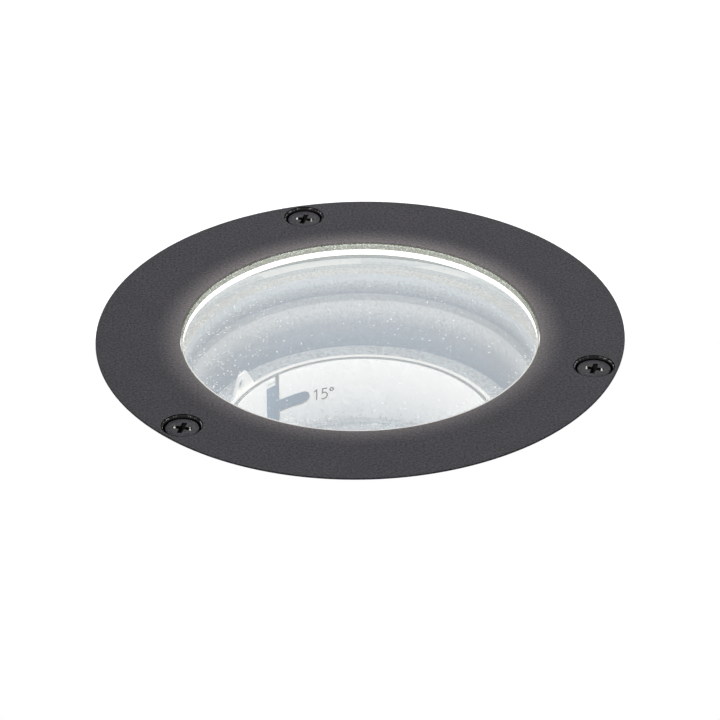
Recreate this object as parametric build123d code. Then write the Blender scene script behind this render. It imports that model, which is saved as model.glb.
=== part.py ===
from build123d import *
import os

# In ground well light with a lens that is raised in a slotted sleeve to narrow its beam.
# Millimetres. +Z is up, Z = 0 is the plane on which the rim of the ring rests,
# and the Z axis is the axis of the light.

# ---------------------------------------------------------------- driving dimensions
# trim ring
RING_R = 65.0
RING_H = 9.0                 # top face above the plane it rests on
RING_EDGE = 0.6              # radius of the outer top edge
BAND_W = 20.8                # from the opening out to the edge of the ring
OPENING_EDGE = 0.3
LIP_T = 1.75                 # lip that holds the glass down
PLATE_T = 5.0
SKIRT_T = 1.7
SCREW_INSET = 5.9            # axis of a trim screw in from the edge of the ring
SCREW_ANGLE = 103.6          # first trim screw, from +X
SCREW_COUNT = 3
HEAD_R = 4.15                # trim screw head
HEAD_H = 2.2
HEAD_SUNK = 0.7
SHANK_R = 1.95
SINK_GAP = 0.5               # radial, counterbore round the head
SINK_EDGE = 0.25             # broken edge of a counterbore
INSERT_WALL = 0.75
INSERT_SUNK = 0.1

# glass and its seals
GLASS_DROP = 0.2             # top of the glass below the top of the ring
GLASS_FLANGE = 6.7           # width of the step that the lip traps
GLASS_FLANGE_T = 5.0
GLASS_CHAMFER = 0.4
GASKET_T = 1.55
BOSS_GAP = 0.6               # radial, round the raised middle of the glass
SEAL_T = 1.0
SEAL_W = 3.0

# housing
RIM_W = 9.0                  # rim that the ring is screwed to, out from the barrel
BARREL_H = 12.0              # plain round barrel under the rim
BODY_WALL = 3.5              # round the foot of the throat
WELL_STEP = 0.3              # well narrower than the opening
WELL_DEPTH = 5.7
WELL_CHAMFER = 1.5
THROAT_STEP = 0.9            # throat narrower than the well
THROAT_TAPER = 2.7           # throat narrower at its foot
THROAT_DEPTH = 11.65
PLATE_SHELF_W = 1.6
MODULE_DEPTH = 53.65         # module plate down to the floor
FLOOR_T = 4.0
DRIVER_DEPTH = 24.0
DRIVER_WALL = 5.3
FIN_COUNT = 24
FIN_T = 2.4
FIN_STEP = 1.0               # edge of a fin in from the barrel
FIN_WALL = 1.7               # tube that carries the fins
FIN_ROOT = 0.8               # fillet at the root of a fin
PORT_R = 3.3                 # boss of the heat sink round the hole of a cap screw

# module plate, yoke and sleeve
MODULE_PLATE_T = 2.0
BEZEL_T = 1.3
BEZEL_STAND = 0.15           # bezel and rim of the sleeve above the plate
SLEEVE_INSET = 6.55          # sleeve in from the foot of the throat
SLEEVE_T = 0.8
YOKE_ANGLE = 146.3
YOKE_T = 0.7                 # sheet of the yoke, its arms rolled to the radius of the bezel
ARM_W = 9.2
EAR_TIP_W = 2.8
EAR_STAND = 4.75             # tip of the ear above the plate
EAR_TAPER_H = 5.1
EAR_HOLE_R = 1.3
EAR_HOLE_DOWN = 2.75
EAR_HOLE_TURN = 1.5          # degrees, hole from the middle of the ear

# slots of the sleeve: one channel with three branches, twice
SLOT_ANGLE = 132.5
SLOT_COUNT = 2
CHANNEL_W = 4.5
MOUTH_W = 1.4
MOUTH_H = 2.2
BRANCH_TURN = 16.0           # degrees, from the channel to the end of a branch
BRANCH_TOP = 9.1             # first branch below the rim of the sleeve
BRANCH_PITCH = 16.0
BRANCH_COUNT = 3
REST_BRANCH = 1              # branch that holds the lens at rest, from 0 at the top
PIN_R = 1.7
PIN_PLAY = 0.2
PIN_PROUD = 0.9              # pin outside the sleeve
PIN_SHOULDER = 0.5           # step down to the stem in the collar

# lens cell and lock collar
CELL_GAP = 0.35
CELL_ABOVE_PIN = 7.5
CELL_HEAD_H = 4.2
NECK_WALL = 1.5
CELL_WALL = 3.3
COLLAR_H = 6.0
COLLAR_PLAY = 0.1
END_PLAY = 0.2
CLIP_T = 0.8
CLIP_GRIP = 0.5
CLIP_W = 1.8
CELL_TAIL = 0.6
LENS_RIM = 1.1               # wall of the cell round the lens
LENS_EDGE_T = 1.4
LENS_DOME = 6.0
LENS_SUNK = 0.2
FRICTION_RING_R = 0.54
FRICTION_GAP = 0.06
LENS_SEAT_T = 0.8            # cell between the lens and the groove of the friction ring
LENS_CLIP_T = 0.5
LENS_CLIP_W = 0.8
CLIP_OPENING = 6.0           # gap of the two spring rings

# lamp
SPREADER_T = 6.0
BOARD_SIDE = 28.0            # square
BOARD_T = 1.6
EMITTER_R = 7.0
EMITTER_T = 0.8
HOLDER_WALL = 0.2            # holder past the corners of the board
HOLDER_T = 3.4
HOLDER_WINDOW_GAP = 2.0      # radial, window round the emitter and its flare
HOLDER_SCREW_INSET = 2.8
MODULE_SCREW_GAP = 0.7       # from the holder to the head of a module screw
LEAD_INSET = 3.0             # leads in from the edge of the board
LEAD_R = 0.7
LEAD_GAP = 2.8               # between the two leads
LEAD_HOLE_R = 3.2
GROMMET_LIP = 1.2

# driver bay
DRIVER_BOARD_T = 1.6
DRIVER_BOARD_GAP = 1.0
DRIVER_STANDOFF = 12.4
STANDOFF_INSET = 7.5
STANDOFF_R = 3.2
STANDOFF_COUNT = 3
CAPACITOR_R = 4.0
CAPACITOR_H = 10.0
CAPACITOR_AT = (14.0, 6.0)   # one on each side of the X axis
INDUCTOR_SIDE = 14.0
INDUCTOR_H = 8.5
INDUCTOR_FOOT_T = 1.5
INDUCTOR_CORE_R = 2.0
INDUCTOR_AT = (-16.0, 6.0)
TERMINAL_L = 18.0
TERMINAL_W = 9.0
TERMINAL_H = 7.0
TERMINAL_INSET = 10.0        # in from the circle of the standoffs
PORT_W = 4.0
PORT_PITCH = 5.5

# base cap, gland and vent
CAP_T = 3.0
CAP_W = 6.7                  # rim of the cap, out from the housing
SPIGOT_H = 4.6
SPIGOT_T = 4.0
SPIGOT_GAP = 0.3
BASE_SEAL_R = 0.8
FOOT_INSET = 9.0             # foot ring in from the edge of the cap
FOOT_W = 4.5
FOOT_H = 12.0
FOOT_DRAFT = 0.5
FOOT_NOTCHES = 4
FOOT_NOTCH_W = 14.0
FOOT_NOTCH_H = 7.0
CAP_SCREW_INSET = 4.0        # in from the edge of the cap
CAP_SCREW_COUNT = 4
CABLE_R = 3.6
GLAND_HEX = 20.0             # across flats
GLAND_THREAD_R = 8.0
GLAND_HEX_H = 4.0
GLAND_NECK_H = 4.5
GLAND_NUT_H = 6.5
GLAND_NUT_HEX = 22.0
GLAND_END_T = 1.2
GLAND_NUT_GAP = 0.2
GLAND_SHOULDER = 1.4
GLAND_SEAL_T = 2.7
GLAND_SEAL_DEPTH = 2.0       # seal up into the hexagon
GLAND_BORE_GAP = 1.6         # radial, body round the cable
GLAND_MOUTH_GAP = 1.0        # radial, nut round the cable
LOCKNUT_H = 3.0
THREAD_PROUD = 1.0           # thread past the locknut
VENT_INSET = 13.0            # in from the inside of the foot ring
VENT_R = 3.0
VENT_HEAD_R = 5.5
VENT_HEAD_H = 3.0
VENT_SLOT_W = 1.2
VENT_TIP = 1.5

# small screws: shank radius, grip in the piece that holds them, head radius and height
SLEEVE_SCREW_COUNT = 3
SLEEVE_SCREW_ANGLE = 45.0    # clear of the module screws and of the yoke
SLEEVE_SCREW_R = 1.2
SLEEVE_SCREW_BITE = 4.0
SLEEVE_SCREW_HEAD_R = 2.0
SLEEVE_SCREW_HEAD_H = 0.8
HOLDER_SCREW_R = 0.95
HOLDER_SCREW_BITE = 3.0
HOLDER_SCREW_HEAD_R = 1.7
HOLDER_SCREW_HEAD_H = 1.3
MODULE_SCREW_R = 1.45
MODULE_SCREW_BITE = 2.8
MODULE_SCREW_HEAD_R = 2.7
MODULE_SCREW_HEAD_H = 2.0
DRIVER_SCREW_R = 1.25
DRIVER_SCREW_BITE = 6.0
DRIVER_SCREW_HEAD_R = 2.6
DRIVER_SCREW_HEAD_H = 1.6
CAP_SCREW_R = 1.65
CAP_SCREW_BITE = 4.5
CAP_SCREW_HEAD_R = 3.5
CAP_SCREW_HEAD_H = 2.4

# clearances
FIT = 0.05                   # radial, parts that fit in each other
LOOSE = 0.3                  # radial, parts that drop in
SCREW_PLAY = 0.2             # radial, screws in plain holes
HOLE_SPARE = 0.8             # blind hole past the end of its screw
OVER = 1.0                   # a cut runs past what it cuts, a joined piece into what it joins

# ---------------------------------------------------------------- levels along Z
z_top = RING_H
z_lip = z_top - LIP_T
z_flange = z_top - PLATE_T
z_glass_step = z_lip - GASKET_T
z_glass_foot = z_glass_step - GLASS_FLANGE_T
z_seat = z_glass_foot - SEAL_T
z_well = z_seat - WELL_DEPTH
z_throat = z_well - WELL_CHAMFER
z_plate = z_throat - THROAT_DEPTH
z_shelf = z_plate - MODULE_PLATE_T
z_floor = z_plate - MODULE_DEPTH
z_bay = z_floor - FLOOR_T
z_cap = z_bay - DRIVER_DEPTH
z_cap_foot = z_cap - CAP_T
z_base = z_cap_foot - FOOT_H
z_rim = z_plate + BEZEL_STAND
z_yoke = z_floor + YOKE_T
z_spreader = z_yoke + SPREADER_T
z_led = z_spreader + BOARD_T
z_pin = z_rim - BRANCH_TOP - REST_BRANCH * BRANCH_PITCH
z_cell = z_pin + CELL_ABOVE_PIN
z_neck = z_cell - CELL_HEAD_H
z_collar = z_neck - END_PLAY
z_collar_foot = z_collar - COLLAR_H
z_clip = z_collar_foot - END_PLAY
z_clip_foot = z_clip - CLIP_T
z_tail = z_clip_foot - CELL_TAIL
z_driver = z_bay - DRIVER_STANDOFF
z_board_foot = z_driver - DRIVER_BOARD_T
z_head = z_top - HEAD_SUNK - HEAD_H
z_sleeve_screw = z_yoke + SPREADER_T / 2
z_recess = z_cell - LENS_SUNK - LENS_EDGE_T
z_groove = z_recess - LENS_SEAT_T - FRICTION_RING_R
z_cap_groove = z_cap + SPIGOT_H / 2
z_hex = z_cap_foot - GLAND_HEX_H
z_neck_foot = z_hex - GLAND_NECK_H
z_nut = z_hex - GLAND_NUT_GAP
z_nut_foot = z_nut - GLAND_NUT_H
z_thread = z_cap + LOCKNUT_H + THREAD_PROUD

# radii, from the ring inwards
opening_r = RING_R - BAND_W
screw_circle_r = RING_R - SCREW_INSET
skirt_r = RING_R - SKIRT_T
rim_r = skirt_r - LOOSE
barrel_r = rim_r - RIM_W
boss_r = opening_r - BOSS_GAP
glass_r = boss_r + GLASS_FLANGE
pocket_r = glass_r + LOOSE + FIT
well_r = opening_r - WELL_STEP
throat_r = well_r - THROAT_STEP
throat_foot_r = throat_r - THROAT_TAPER
shelf_r = throat_foot_r - PLATE_SHELF_W
sleeve_r = throat_foot_r - SLEEVE_INSET
sleeve_in = sleeve_r - SLEEVE_T
bezel_in = sleeve_r + LOOSE
bezel_out = bezel_in + BEZEL_T
yoke_in = bezel_out + 2 * FIT
yoke_out = yoke_in + YOKE_T
cell_r = sleeve_in - CELL_GAP
cell_bore_r = cell_r - CELL_WALL
lens_edge_r = cell_r - LENS_RIM
neck_r = cell_bore_r + NECK_WALL
collar_in = neck_r + COLLAR_PLAY
spreader_r = sleeve_in - LOOSE
holder_r = BOARD_SIDE / 2 ** 0.5 + HOLDER_WALL
holder_screw_at = holder_r - HOLDER_SCREW_INSET
holder_window_r = EMITTER_R + HOLDER_WINDOW_GAP
module_screw_at = holder_r + MODULE_SCREW_GAP + MODULE_SCREW_HEAD_R
lead_at = BOARD_SIDE / 2 - LEAD_INSET
body_r = throat_foot_r + BODY_WALL
driver_bay_r = body_r - DRIVER_WALL
standoff_at = driver_bay_r - STANDOFF_INSET
terminal_at = standoff_at - TERMINAL_INSET
sink_in = body_r + FIT
sink_out = sink_in + FIN_WALL
fin_r = barrel_r - FIN_STEP
cap_r = body_r + CAP_W
cap_screw_at = cap_r - CAP_SCREW_INSET
foot_r = cap_r - FOOT_INSET
foot_in = foot_r - FOOT_W
vent_at = foot_in - VENT_INSET
spigot_r = driver_bay_r - SPIGOT_GAP
spigot_in = spigot_r - SPIGOT_T

# small radii
counterbore_r = HEAD_R + SINK_GAP
insert_r = SHANK_R + FIT + INSERT_WALL
slot_half = PIN_R + PIN_PLAY
stem_r = PIN_R - PIN_SHOULDER
gland_neck_r = GLAND_HEX / 2 - GLAND_SHOULDER
gland_seal_r = CABLE_R + GLAND_SEAL_T

# angles
screw_angles = [SCREW_ANGLE + i * 360 / SCREW_COUNT for i in range(SCREW_COUNT)]
slot_angles = [SLOT_ANGLE + i * 360 / SLOT_COUNT for i in range(SLOT_COUNT)]
standoff_angles = [90 + i * 360 / STANDOFF_COUNT for i in range(STANDOFF_COUNT)]
cap_screw_angles = [45 + i * 360 / CAP_SCREW_COUNT for i in range(CAP_SCREW_COUNT)]
fin_angles = [(i + 0.5) * 360 / FIN_COUNT for i in range(FIN_COUNT)]
foot_notch_angles = [i * 360 / FOOT_NOTCHES for i in range(FOOT_NOTCHES)]
sleeve_screw_angles = [SLEEVE_SCREW_ANGLE + i * 360 / SLEEVE_SCREW_COUNT for i in range(SLEEVE_SCREW_COUNT)]


# ---------------------------------------------------------------- shape helpers
def disc(r, z_low, z_high):
    """Cylinder on the Z axis between two levels."""
    return Pos(0, 0, z_low) * Cylinder(r, z_high - z_low, align=(Align.CENTER, Align.CENTER, Align.MIN))


def cone(r_low, r_high, z_low, z_high):
    """Cone on the Z axis between two levels."""
    shape = Cone(r_low, r_high, z_high - z_low, align=(Align.CENTER, Align.CENTER, Align.MIN))
    return Pos(0, 0, z_low) * shape


def tube(r_out, r_in, z_low, z_high):
    """Plain ring on the Z axis between two levels."""
    return disc(r_out, z_low, z_high) - disc(r_in, z_low - OVER, z_high + OVER)


def turned(*profile):
    """Solid of revolution about Z of a closed outline of (radius, z) points."""
    outline = Polyline(*[(r, 0, z) for r, z in profile], close=True)
    return revolve(make_face(outline), Axis.Z)


def torus(r, section_r, z):
    """Round section ring on the Z axis."""
    return Pos(0, 0, z) * Torus(r, section_r)


def block(length, width, z_low, z_high, x=0.0, y=0.0):
    """Box between two levels, centred on x and y."""
    height = z_high - z_low
    return Pos(x, y, z_low) * Box(length, width, height, align=(Align.CENTER, Align.CENTER, Align.MIN))


def hexagon(across_flats, z_low, z_high):
    """Hexagonal prism on the Z axis."""
    sketch = RegularPolygon(across_flats / 2, 6, major_radius=False)
    return Pos(0, 0, z_low) * extrude(sketch, z_high - z_low)


def polar(shape, r, angles):
    """Copies of a shape moved out to radius r, one for each angle."""
    return [Rot(0, 0, a) * Pos(r, 0, 0) * shape for a in angles]


def cut(body, tools):
    """Body less every tool of a list."""
    for tool in tools:
        body = body - tool
    return body


def join(body, parts):
    """Body fused with every part of a list."""
    for part in parts:
        body = body + part
    return body


def cross_recess(r, z_high, depth):
    """Tapered cross, point down, that a driver bit fits."""
    arm = Plane.XY.offset(z_high) * Rectangle(2 * r, 0.45 * r)
    foot = Plane.XY.offset(z_high - depth) * Rectangle(0.7 * r, 0.3 * r)
    wing = loft([arm.face(), foot.face()])
    return wing + Rot(0, 0, 90) * wing


def pan_screw(head_r, head_h, shank_r, z_seat_of_head, shank_l):
    """Screw that points down, with a rounded head and a cross recess."""
    head = disc(head_r, z_seat_of_head, z_seat_of_head + head_h)
    head = chamfer(head.edges().sort_by(Axis.Z)[-1], 0.25 * head_h)
    shank = disc(shank_r, z_seat_of_head - shank_l, z_seat_of_head)
    return head + shank - cross_recess(0.55 * head_r, z_seat_of_head + head_h, 0.7 * head_h)


def radial_rod(r, start, end, angle, z):
    """Round bar that points away from the Z axis, between two distances from it."""
    bar = Cylinder(r, end - start, align=(Align.CENTER, Align.CENTER, Align.MIN))
    return Rot(0, 0, angle) * Pos(start, 0, z) * Rot(0, 90, 0) * bar


def lead_hole(z_low, z_high):
    """Hole for the two leads of the lamp between two levels."""
    return Pos(0, -lead_at, 0) * disc(LEAD_HOLE_R, z_low - OVER, z_high + OVER)


# ---------------------------------------------------------------- ring, screws and glass
def make_trim_ring():
    ring = turned(
        (opening_r, z_lip),
        (opening_r, z_top - OPENING_EDGE),
        (opening_r + OPENING_EDGE, z_top),
        (RING_R, z_top),
        (RING_R, 0),
        (skirt_r, 0),
        (skirt_r, z_flange),
        (pocket_r, z_flange),
        (pocket_r, z_lip),
    )
    outer_top = ring.edges().filter_by(GeomType.CIRCLE).group_by(SortBy.RADIUS)[-1].sort_by(Axis.Z)[-1]
    ring = fillet(outer_top, RING_EDGE)
    hole = disc(counterbore_r, z_head, z_top + OVER) + disc(SHANK_R + LOOSE, z_flange - OVER, z_head + OVER)
    hole = hole + cone(counterbore_r, counterbore_r + SINK_EDGE + OVER, z_top - SINK_EDGE, z_top + OVER)
    return cut(ring, polar(hole, screw_circle_r, screw_angles))


def make_trim_screws():
    screw = pan_screw(HEAD_R, HEAD_H, SHANK_R, z_head, z_head - LOOSE)
    return polar(screw, screw_circle_r, screw_angles)


def make_thread_inserts():
    insert = tube(insert_r, SHANK_R + FIT, INSERT_SUNK, z_flange - INSERT_SUNK)
    return polar(insert, screw_circle_r, screw_angles)


def make_glass_lens():
    z_glass = z_top - GLASS_DROP
    return turned(
        (0, z_glass_foot),
        (0, z_glass),
        (boss_r - GLASS_CHAMFER, z_glass),
        (boss_r, z_glass - GLASS_CHAMFER),
        (boss_r, z_glass_step),
        (glass_r - GLASS_CHAMFER, z_glass_step),
        (glass_r, z_glass_step - GLASS_CHAMFER),
        (glass_r, z_glass_foot + GLASS_CHAMFER),
        (glass_r - GLASS_CHAMFER, z_glass_foot),
    )


def make_glass_gasket():
    return tube(glass_r, boss_r + 2 * FIT, z_glass_step, z_lip)


def make_seat_seal():
    return tube(glass_r, glass_r - SEAL_W, z_seat, z_glass_foot)


# ---------------------------------------------------------------- housing
def make_housing():
    shell = turned(
        (pocket_r, z_flange),
        (rim_r, z_flange),
        (rim_r, 0),
        (barrel_r, 0),
        (barrel_r, -BARREL_H),
        (body_r, -BARREL_H),
        (body_r, z_cap),
        (driver_bay_r, z_cap),
        (driver_bay_r, z_bay),
        (0, z_bay),
        (0, z_floor),
        (shelf_r, z_floor),
        (shelf_r, z_shelf),
        (throat_foot_r, z_shelf),
        (throat_foot_r, z_plate),
        (throat_r, z_throat),
        (well_r, z_well),
        (well_r, z_seat),
        (pocket_r, z_seat),
    )
    post = disc(STANDOFF_R, z_driver, z_bay + OVER)
    shell = join(shell, polar(post, standoff_at, standoff_angles))
    pilot = disc(DRIVER_SCREW_R + FIT, z_driver - OVER, z_driver + DRIVER_SCREW_BITE + HOLE_SPARE)
    shell = cut(shell, polar(pilot, standoff_at, standoff_angles))
    insert_hole = disc(insert_r + FIT, -OVER, z_flange + OVER)
    shell = cut(shell, polar(insert_hole, screw_circle_r, screw_angles))
    module_hole = disc(MODULE_SCREW_R + FIT, z_floor - MODULE_SCREW_BITE - HOLE_SPARE / 2, z_floor + OVER)
    shell = cut(shell, polar(module_hole, module_screw_at, [0, 180]))
    return shell - lead_hole(z_bay, z_floor)


def make_heat_sink():
    """Extruded tube with fins, and with a port beside the tube for each screw of the cap."""
    section = Circle(sink_out) + [
        Rot(0, 0, a) * Pos(sink_in, 0) * Rectangle(fin_r - sink_in, FIN_T, align=(Align.MIN, Align.CENTER))
        for a in fin_angles
    ]
    roots = section.vertices().filter_by(lambda v: v.center().length < sink_out + FIT)
    section = fillet(roots, FIN_ROOT)
    section = section + polar(Circle(PORT_R), cap_screw_at, cap_screw_angles)
    section = section - Circle(sink_in)
    sink = Pos(0, 0, z_cap) * extrude(section, -BARREL_H - z_cap)
    hole = disc(CAP_SCREW_R + FIT, z_cap - OVER, z_cap + CAP_SCREW_BITE + HOLE_SPARE)
    return cut(sink, polar(hole, cap_screw_at, cap_screw_angles))


# ---------------------------------------------------------------- module plate, yoke, sleeve
def make_module_plate():
    plate = tube(throat_foot_r - LOOSE, bezel_out + FIT, z_shelf, z_plate)
    slot = tube(yoke_out + LOOSE, bezel_in, z_shelf - OVER, z_plate + OVER)
    slot = slot & block(yoke_out, ARM_W + 2 * LOOSE, z_shelf - OVER, z_plate + OVER, yoke_out)
    return cut(plate, polar(slot, 0, [YOKE_ANGLE, YOKE_ANGLE + 180]))


def make_rim_bezel():
    return tube(bezel_out, bezel_in, z_shelf, z_rim)


def make_module_yoke():
    z_tip = z_plate + EAR_STAND
    outline = Polyline(
        (0, -ARM_W / 2, z_floor),
        (0, ARM_W / 2, z_floor),
        (0, ARM_W / 2, z_tip - EAR_TAPER_H),
        (0, EAR_TIP_W / 2, z_tip),
        (0, -EAR_TIP_W / 2, z_tip),
        (0, -ARM_W / 2, z_tip - EAR_TAPER_H),
        close=True,
    )
    arm = tube(yoke_out, yoke_in, z_floor, z_tip) & extrude(make_face(outline), yoke_out + OVER, dir=(1, 0, 0))
    arm = arm - radial_rod(EAR_HOLE_R, yoke_in - OVER, yoke_out + OVER, EAR_HOLE_TURN, z_tip - EAR_HOLE_DOWN)
    strap = block(yoke_in + yoke_out, ARM_W, z_floor, z_yoke)
    base = disc(sleeve_r, z_floor, z_yoke) + strap + arm + Rot(0, 0, 180) * arm
    base = Rot(0, 0, YOKE_ANGLE) * base
    hole = disc(MODULE_SCREW_R + SCREW_PLAY, z_floor - OVER, z_yoke + OVER)
    base = cut(base, polar(hole, module_screw_at, [0, 180]))
    return base - lead_hole(z_floor, z_yoke)


def slot_cut(angle):
    """One channel with its mouth and its branches."""
    reach = sleeve_r + OVER
    z_last = z_rim - BRANCH_TOP - (BRANCH_COUNT - 1) * BRANCH_PITCH
    z_tongue = z_rim - MOUTH_H
    channel = block(reach, CHANNEL_W, z_last, z_tongue, reach / 2)
    channel = channel + block(reach, CHANNEL_W, z_last - slot_half, z_last, reach / 2)
    mouth_y = -CHANNEL_W / 2 + MOUTH_W / 2
    channel = channel + block(reach, MOUTH_W, z_tongue - OVER, z_rim + OVER, reach / 2, mouth_y)
    for i in range(BRANCH_COUNT):
        z_branch = z_rim - BRANCH_TOP - i * BRANCH_PITCH
        section = Plane.XZ * Pos(reach / 2, z_branch) * Rectangle(reach, 2 * slot_half)
        sweep_turn = Rot(0, 0, -BRANCH_TURN) * revolve(section, Axis.Z, revolution_arc=BRANCH_TURN)
        channel = channel + sweep_turn + radial_rod(slot_half, 1, reach, -BRANCH_TURN, z_branch)
    return Rot(0, 0, angle) * channel


def make_index_sleeve():
    sleeve = tube(sleeve_r, sleeve_in, z_yoke, z_rim)
    sleeve = cut(sleeve, [slot_cut(a) for a in slot_angles])
    hole = radial_rod(SLEEVE_SCREW_R + SCREW_PLAY, sleeve_in - OVER, sleeve_r + OVER, 0, z_sleeve_screw)
    return cut(sleeve, polar(hole, 0, sleeve_screw_angles))


def make_sleeve_screws():
    tip = spreader_r - SLEEVE_SCREW_BITE
    shank = radial_rod(SLEEVE_SCREW_R, tip, sleeve_r + SLEEVE_SCREW_HEAD_H / 2, 0, z_sleeve_screw)
    head = radial_rod(SLEEVE_SCREW_HEAD_R, sleeve_in, sleeve_r + SLEEVE_SCREW_HEAD_H, 0, z_sleeve_screw)
    head = head - disc(sleeve_r, z_floor, z_spreader + OVER)
    return polar(shank + head, 0, sleeve_screw_angles)


# ---------------------------------------------------------------- moving lens
def make_lens_cell():
    groove_r = sleeve_in - FRICTION_GAP - 2 * FRICTION_RING_R - FIT
    recess_r = lens_edge_r + 2 * FIT
    return turned(
        (cell_bore_r, z_tail),
        (cell_bore_r, z_recess),
        (recess_r, z_recess),
        (recess_r, z_cell),
        (cell_r, z_cell),
        (cell_r, z_groove + FRICTION_RING_R),
        (groove_r, z_groove + FRICTION_RING_R),
        (groove_r, z_groove - FRICTION_RING_R),
        (cell_r, z_groove - FRICTION_RING_R),
        (cell_r, z_neck),
        (neck_r, z_neck),
        (neck_r, z_clip),
        (neck_r - CLIP_GRIP, z_clip),
        (neck_r - CLIP_GRIP, z_clip_foot),
        (neck_r, z_clip_foot),
        (neck_r, z_tail),
    )


def make_optic_lens():
    z_high = z_cell - LENS_SUNK
    z_low = z_high - LENS_EDGE_T
    edge = disc(lens_edge_r, z_low, z_high)
    dome_r = cell_bore_r - LOOSE
    ball_r = (dome_r ** 2 + LENS_DOME ** 2) / (2 * LENS_DOME)
    ball = Pos(0, 0, z_low - LENS_DOME + ball_r) * Sphere(ball_r)
    dome = ball & disc(dome_r, z_low - LENS_DOME - OVER, z_low + LENS_EDGE_T / 2)
    return edge + dome


def make_lens_clip():
    z_low = z_cell - LENS_SUNK
    ring = tube(lens_edge_r, lens_edge_r - LENS_CLIP_W, z_low, z_low + LENS_CLIP_T)
    return ring - block(CLIP_OPENING, CLIP_OPENING, z_low - OVER, z_low + LENS_CLIP_T + OVER, 0, -lens_edge_r)


def make_cell_friction_ring():
    return torus(sleeve_in - FRICTION_GAP - FRICTION_RING_R, FRICTION_RING_R, z_groove)


def make_lock_collar():
    collar = tube(cell_r, collar_in, z_collar_foot, z_collar)
    hole = radial_rod(stem_r + FIT, collar_in - OVER, cell_r + OVER, 0, z_pin)
    return cut(collar, polar(hole, 0, slot_angles))


def make_index_pins():
    head = radial_rod(PIN_R, cell_r + FIT, sleeve_r + PIN_PROUD, 0, z_pin)
    stem = radial_rod(stem_r, collar_in + LOOSE, cell_r + OVER, 0, z_pin)
    return polar(head + stem, 0, slot_angles)


def make_collar_clip():
    clip_in = neck_r - CLIP_GRIP + FIT
    ring = tube(clip_in + CLIP_W, clip_in, z_clip_foot, z_clip)
    return ring - block(CLIP_OPENING, CLIP_OPENING, z_clip_foot - OVER, z_clip + OVER, 0, -neck_r)


# ---------------------------------------------------------------- lamp
def make_heat_spreader():
    spreader = disc(spreader_r, z_yoke, z_spreader)
    hole = disc(MODULE_SCREW_R + SCREW_PLAY, z_yoke - OVER, z_spreader + OVER)
    spreader = cut(spreader, polar(hole, module_screw_at, [0, 180]))
    tapped = disc(HOLDER_SCREW_R + FIT, z_spreader - HOLDER_SCREW_BITE - HOLE_SPARE, z_spreader + OVER)
    spreader = cut(spreader, polar(tapped, holder_screw_at, [0, 180]))
    bite = spreader_r - SLEEVE_SCREW_BITE - HOLE_SPARE
    side = radial_rod(SLEEVE_SCREW_R + FIT, bite, sleeve_r, 0, z_sleeve_screw)
    return cut(spreader, polar(side, 0, sleeve_screw_angles)) - lead_hole(z_yoke, z_spreader)


def make_module_screws():
    length = SPREADER_T + YOKE_T + MODULE_SCREW_BITE
    screw = pan_screw(MODULE_SCREW_HEAD_R, MODULE_SCREW_HEAD_H, MODULE_SCREW_R, z_spreader, length)
    return polar(screw, module_screw_at, [0, 180])


def make_led_board():
    return block(BOARD_SIDE, BOARD_SIDE, z_spreader, z_led)


def make_led_emitter():
    return disc(EMITTER_R, z_led, z_led + EMITTER_T)


def make_led_holder():
    z_high = z_spreader + HOLDER_T
    holder = disc(holder_r, z_spreader, z_high)
    side = BOARD_SIDE + 2 * LOOSE
    holder = holder - block(side, side, z_spreader - OVER, z_led)
    holder = holder - cone(holder_window_r, holder_window_r + HOLDER_WINDOW_GAP, z_led, z_high)
    sink = disc(HOLDER_SCREW_HEAD_R + SCREW_PLAY, z_high - HOLDER_SCREW_HEAD_H, z_high + OVER)
    sink = sink + disc(HOLDER_SCREW_R + SCREW_PLAY, z_spreader - OVER, z_high)
    return cut(holder, polar(sink, holder_screw_at, [0, 180]))


def make_led_holder_screws():
    z_low = z_spreader + HOLDER_T - HOLDER_SCREW_HEAD_H
    length = z_low - z_spreader + HOLDER_SCREW_BITE
    screw = pan_screw(HOLDER_SCREW_HEAD_R, HOLDER_SCREW_HEAD_H, HOLDER_SCREW_R, z_low, length)
    return polar(screw, holder_screw_at, [0, 180])


def make_led_leads():
    lead = disc(LEAD_R, z_driver, z_spreader)
    return [Pos(x, -lead_at, 0) * lead for x in (-LEAD_GAP / 2, LEAD_GAP / 2)]


def make_lead_grommet():
    plug = disc(LEAD_HOLE_R - FIT, z_bay, z_floor)
    plug = plug + disc(LEAD_HOLE_R + GROMMET_LIP, z_bay - GROMMET_LIP, z_bay)
    bore = disc(LEAD_R + FIT, z_bay - GROMMET_LIP - OVER, z_floor + OVER)
    return Pos(0, -lead_at, 0) * cut(plug, [Pos(x, 0, 0) * bore for x in (-LEAD_GAP / 2, LEAD_GAP / 2)])


# ---------------------------------------------------------------- driver
def make_driver_board():
    board = disc(driver_bay_r - DRIVER_BOARD_GAP, z_board_foot, z_driver)
    hole = disc(DRIVER_SCREW_R + SCREW_PLAY, z_board_foot - OVER, z_driver + OVER)
    return cut(board, polar(hole, standoff_at, standoff_angles))


def make_driver_screws():
    length = DRIVER_BOARD_T + DRIVER_SCREW_BITE
    screw = pan_screw(DRIVER_SCREW_HEAD_R, DRIVER_SCREW_HEAD_H, DRIVER_SCREW_R, 0, length)
    screw = Pos(0, 0, z_board_foot) * Rot(180, 0, 0) * screw
    return polar(screw, standoff_at, standoff_angles)


def make_driver_inductor():
    foot = block(INDUCTOR_SIDE, INDUCTOR_SIDE, z_driver, z_driver + INDUCTOR_FOOT_T)
    drum = tube(INDUCTOR_SIDE / 2, INDUCTOR_CORE_R, z_driver + INDUCTOR_FOOT_T, z_driver + INDUCTOR_H)
    return Pos(*INDUCTOR_AT, 0) * (foot + drum)


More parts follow.
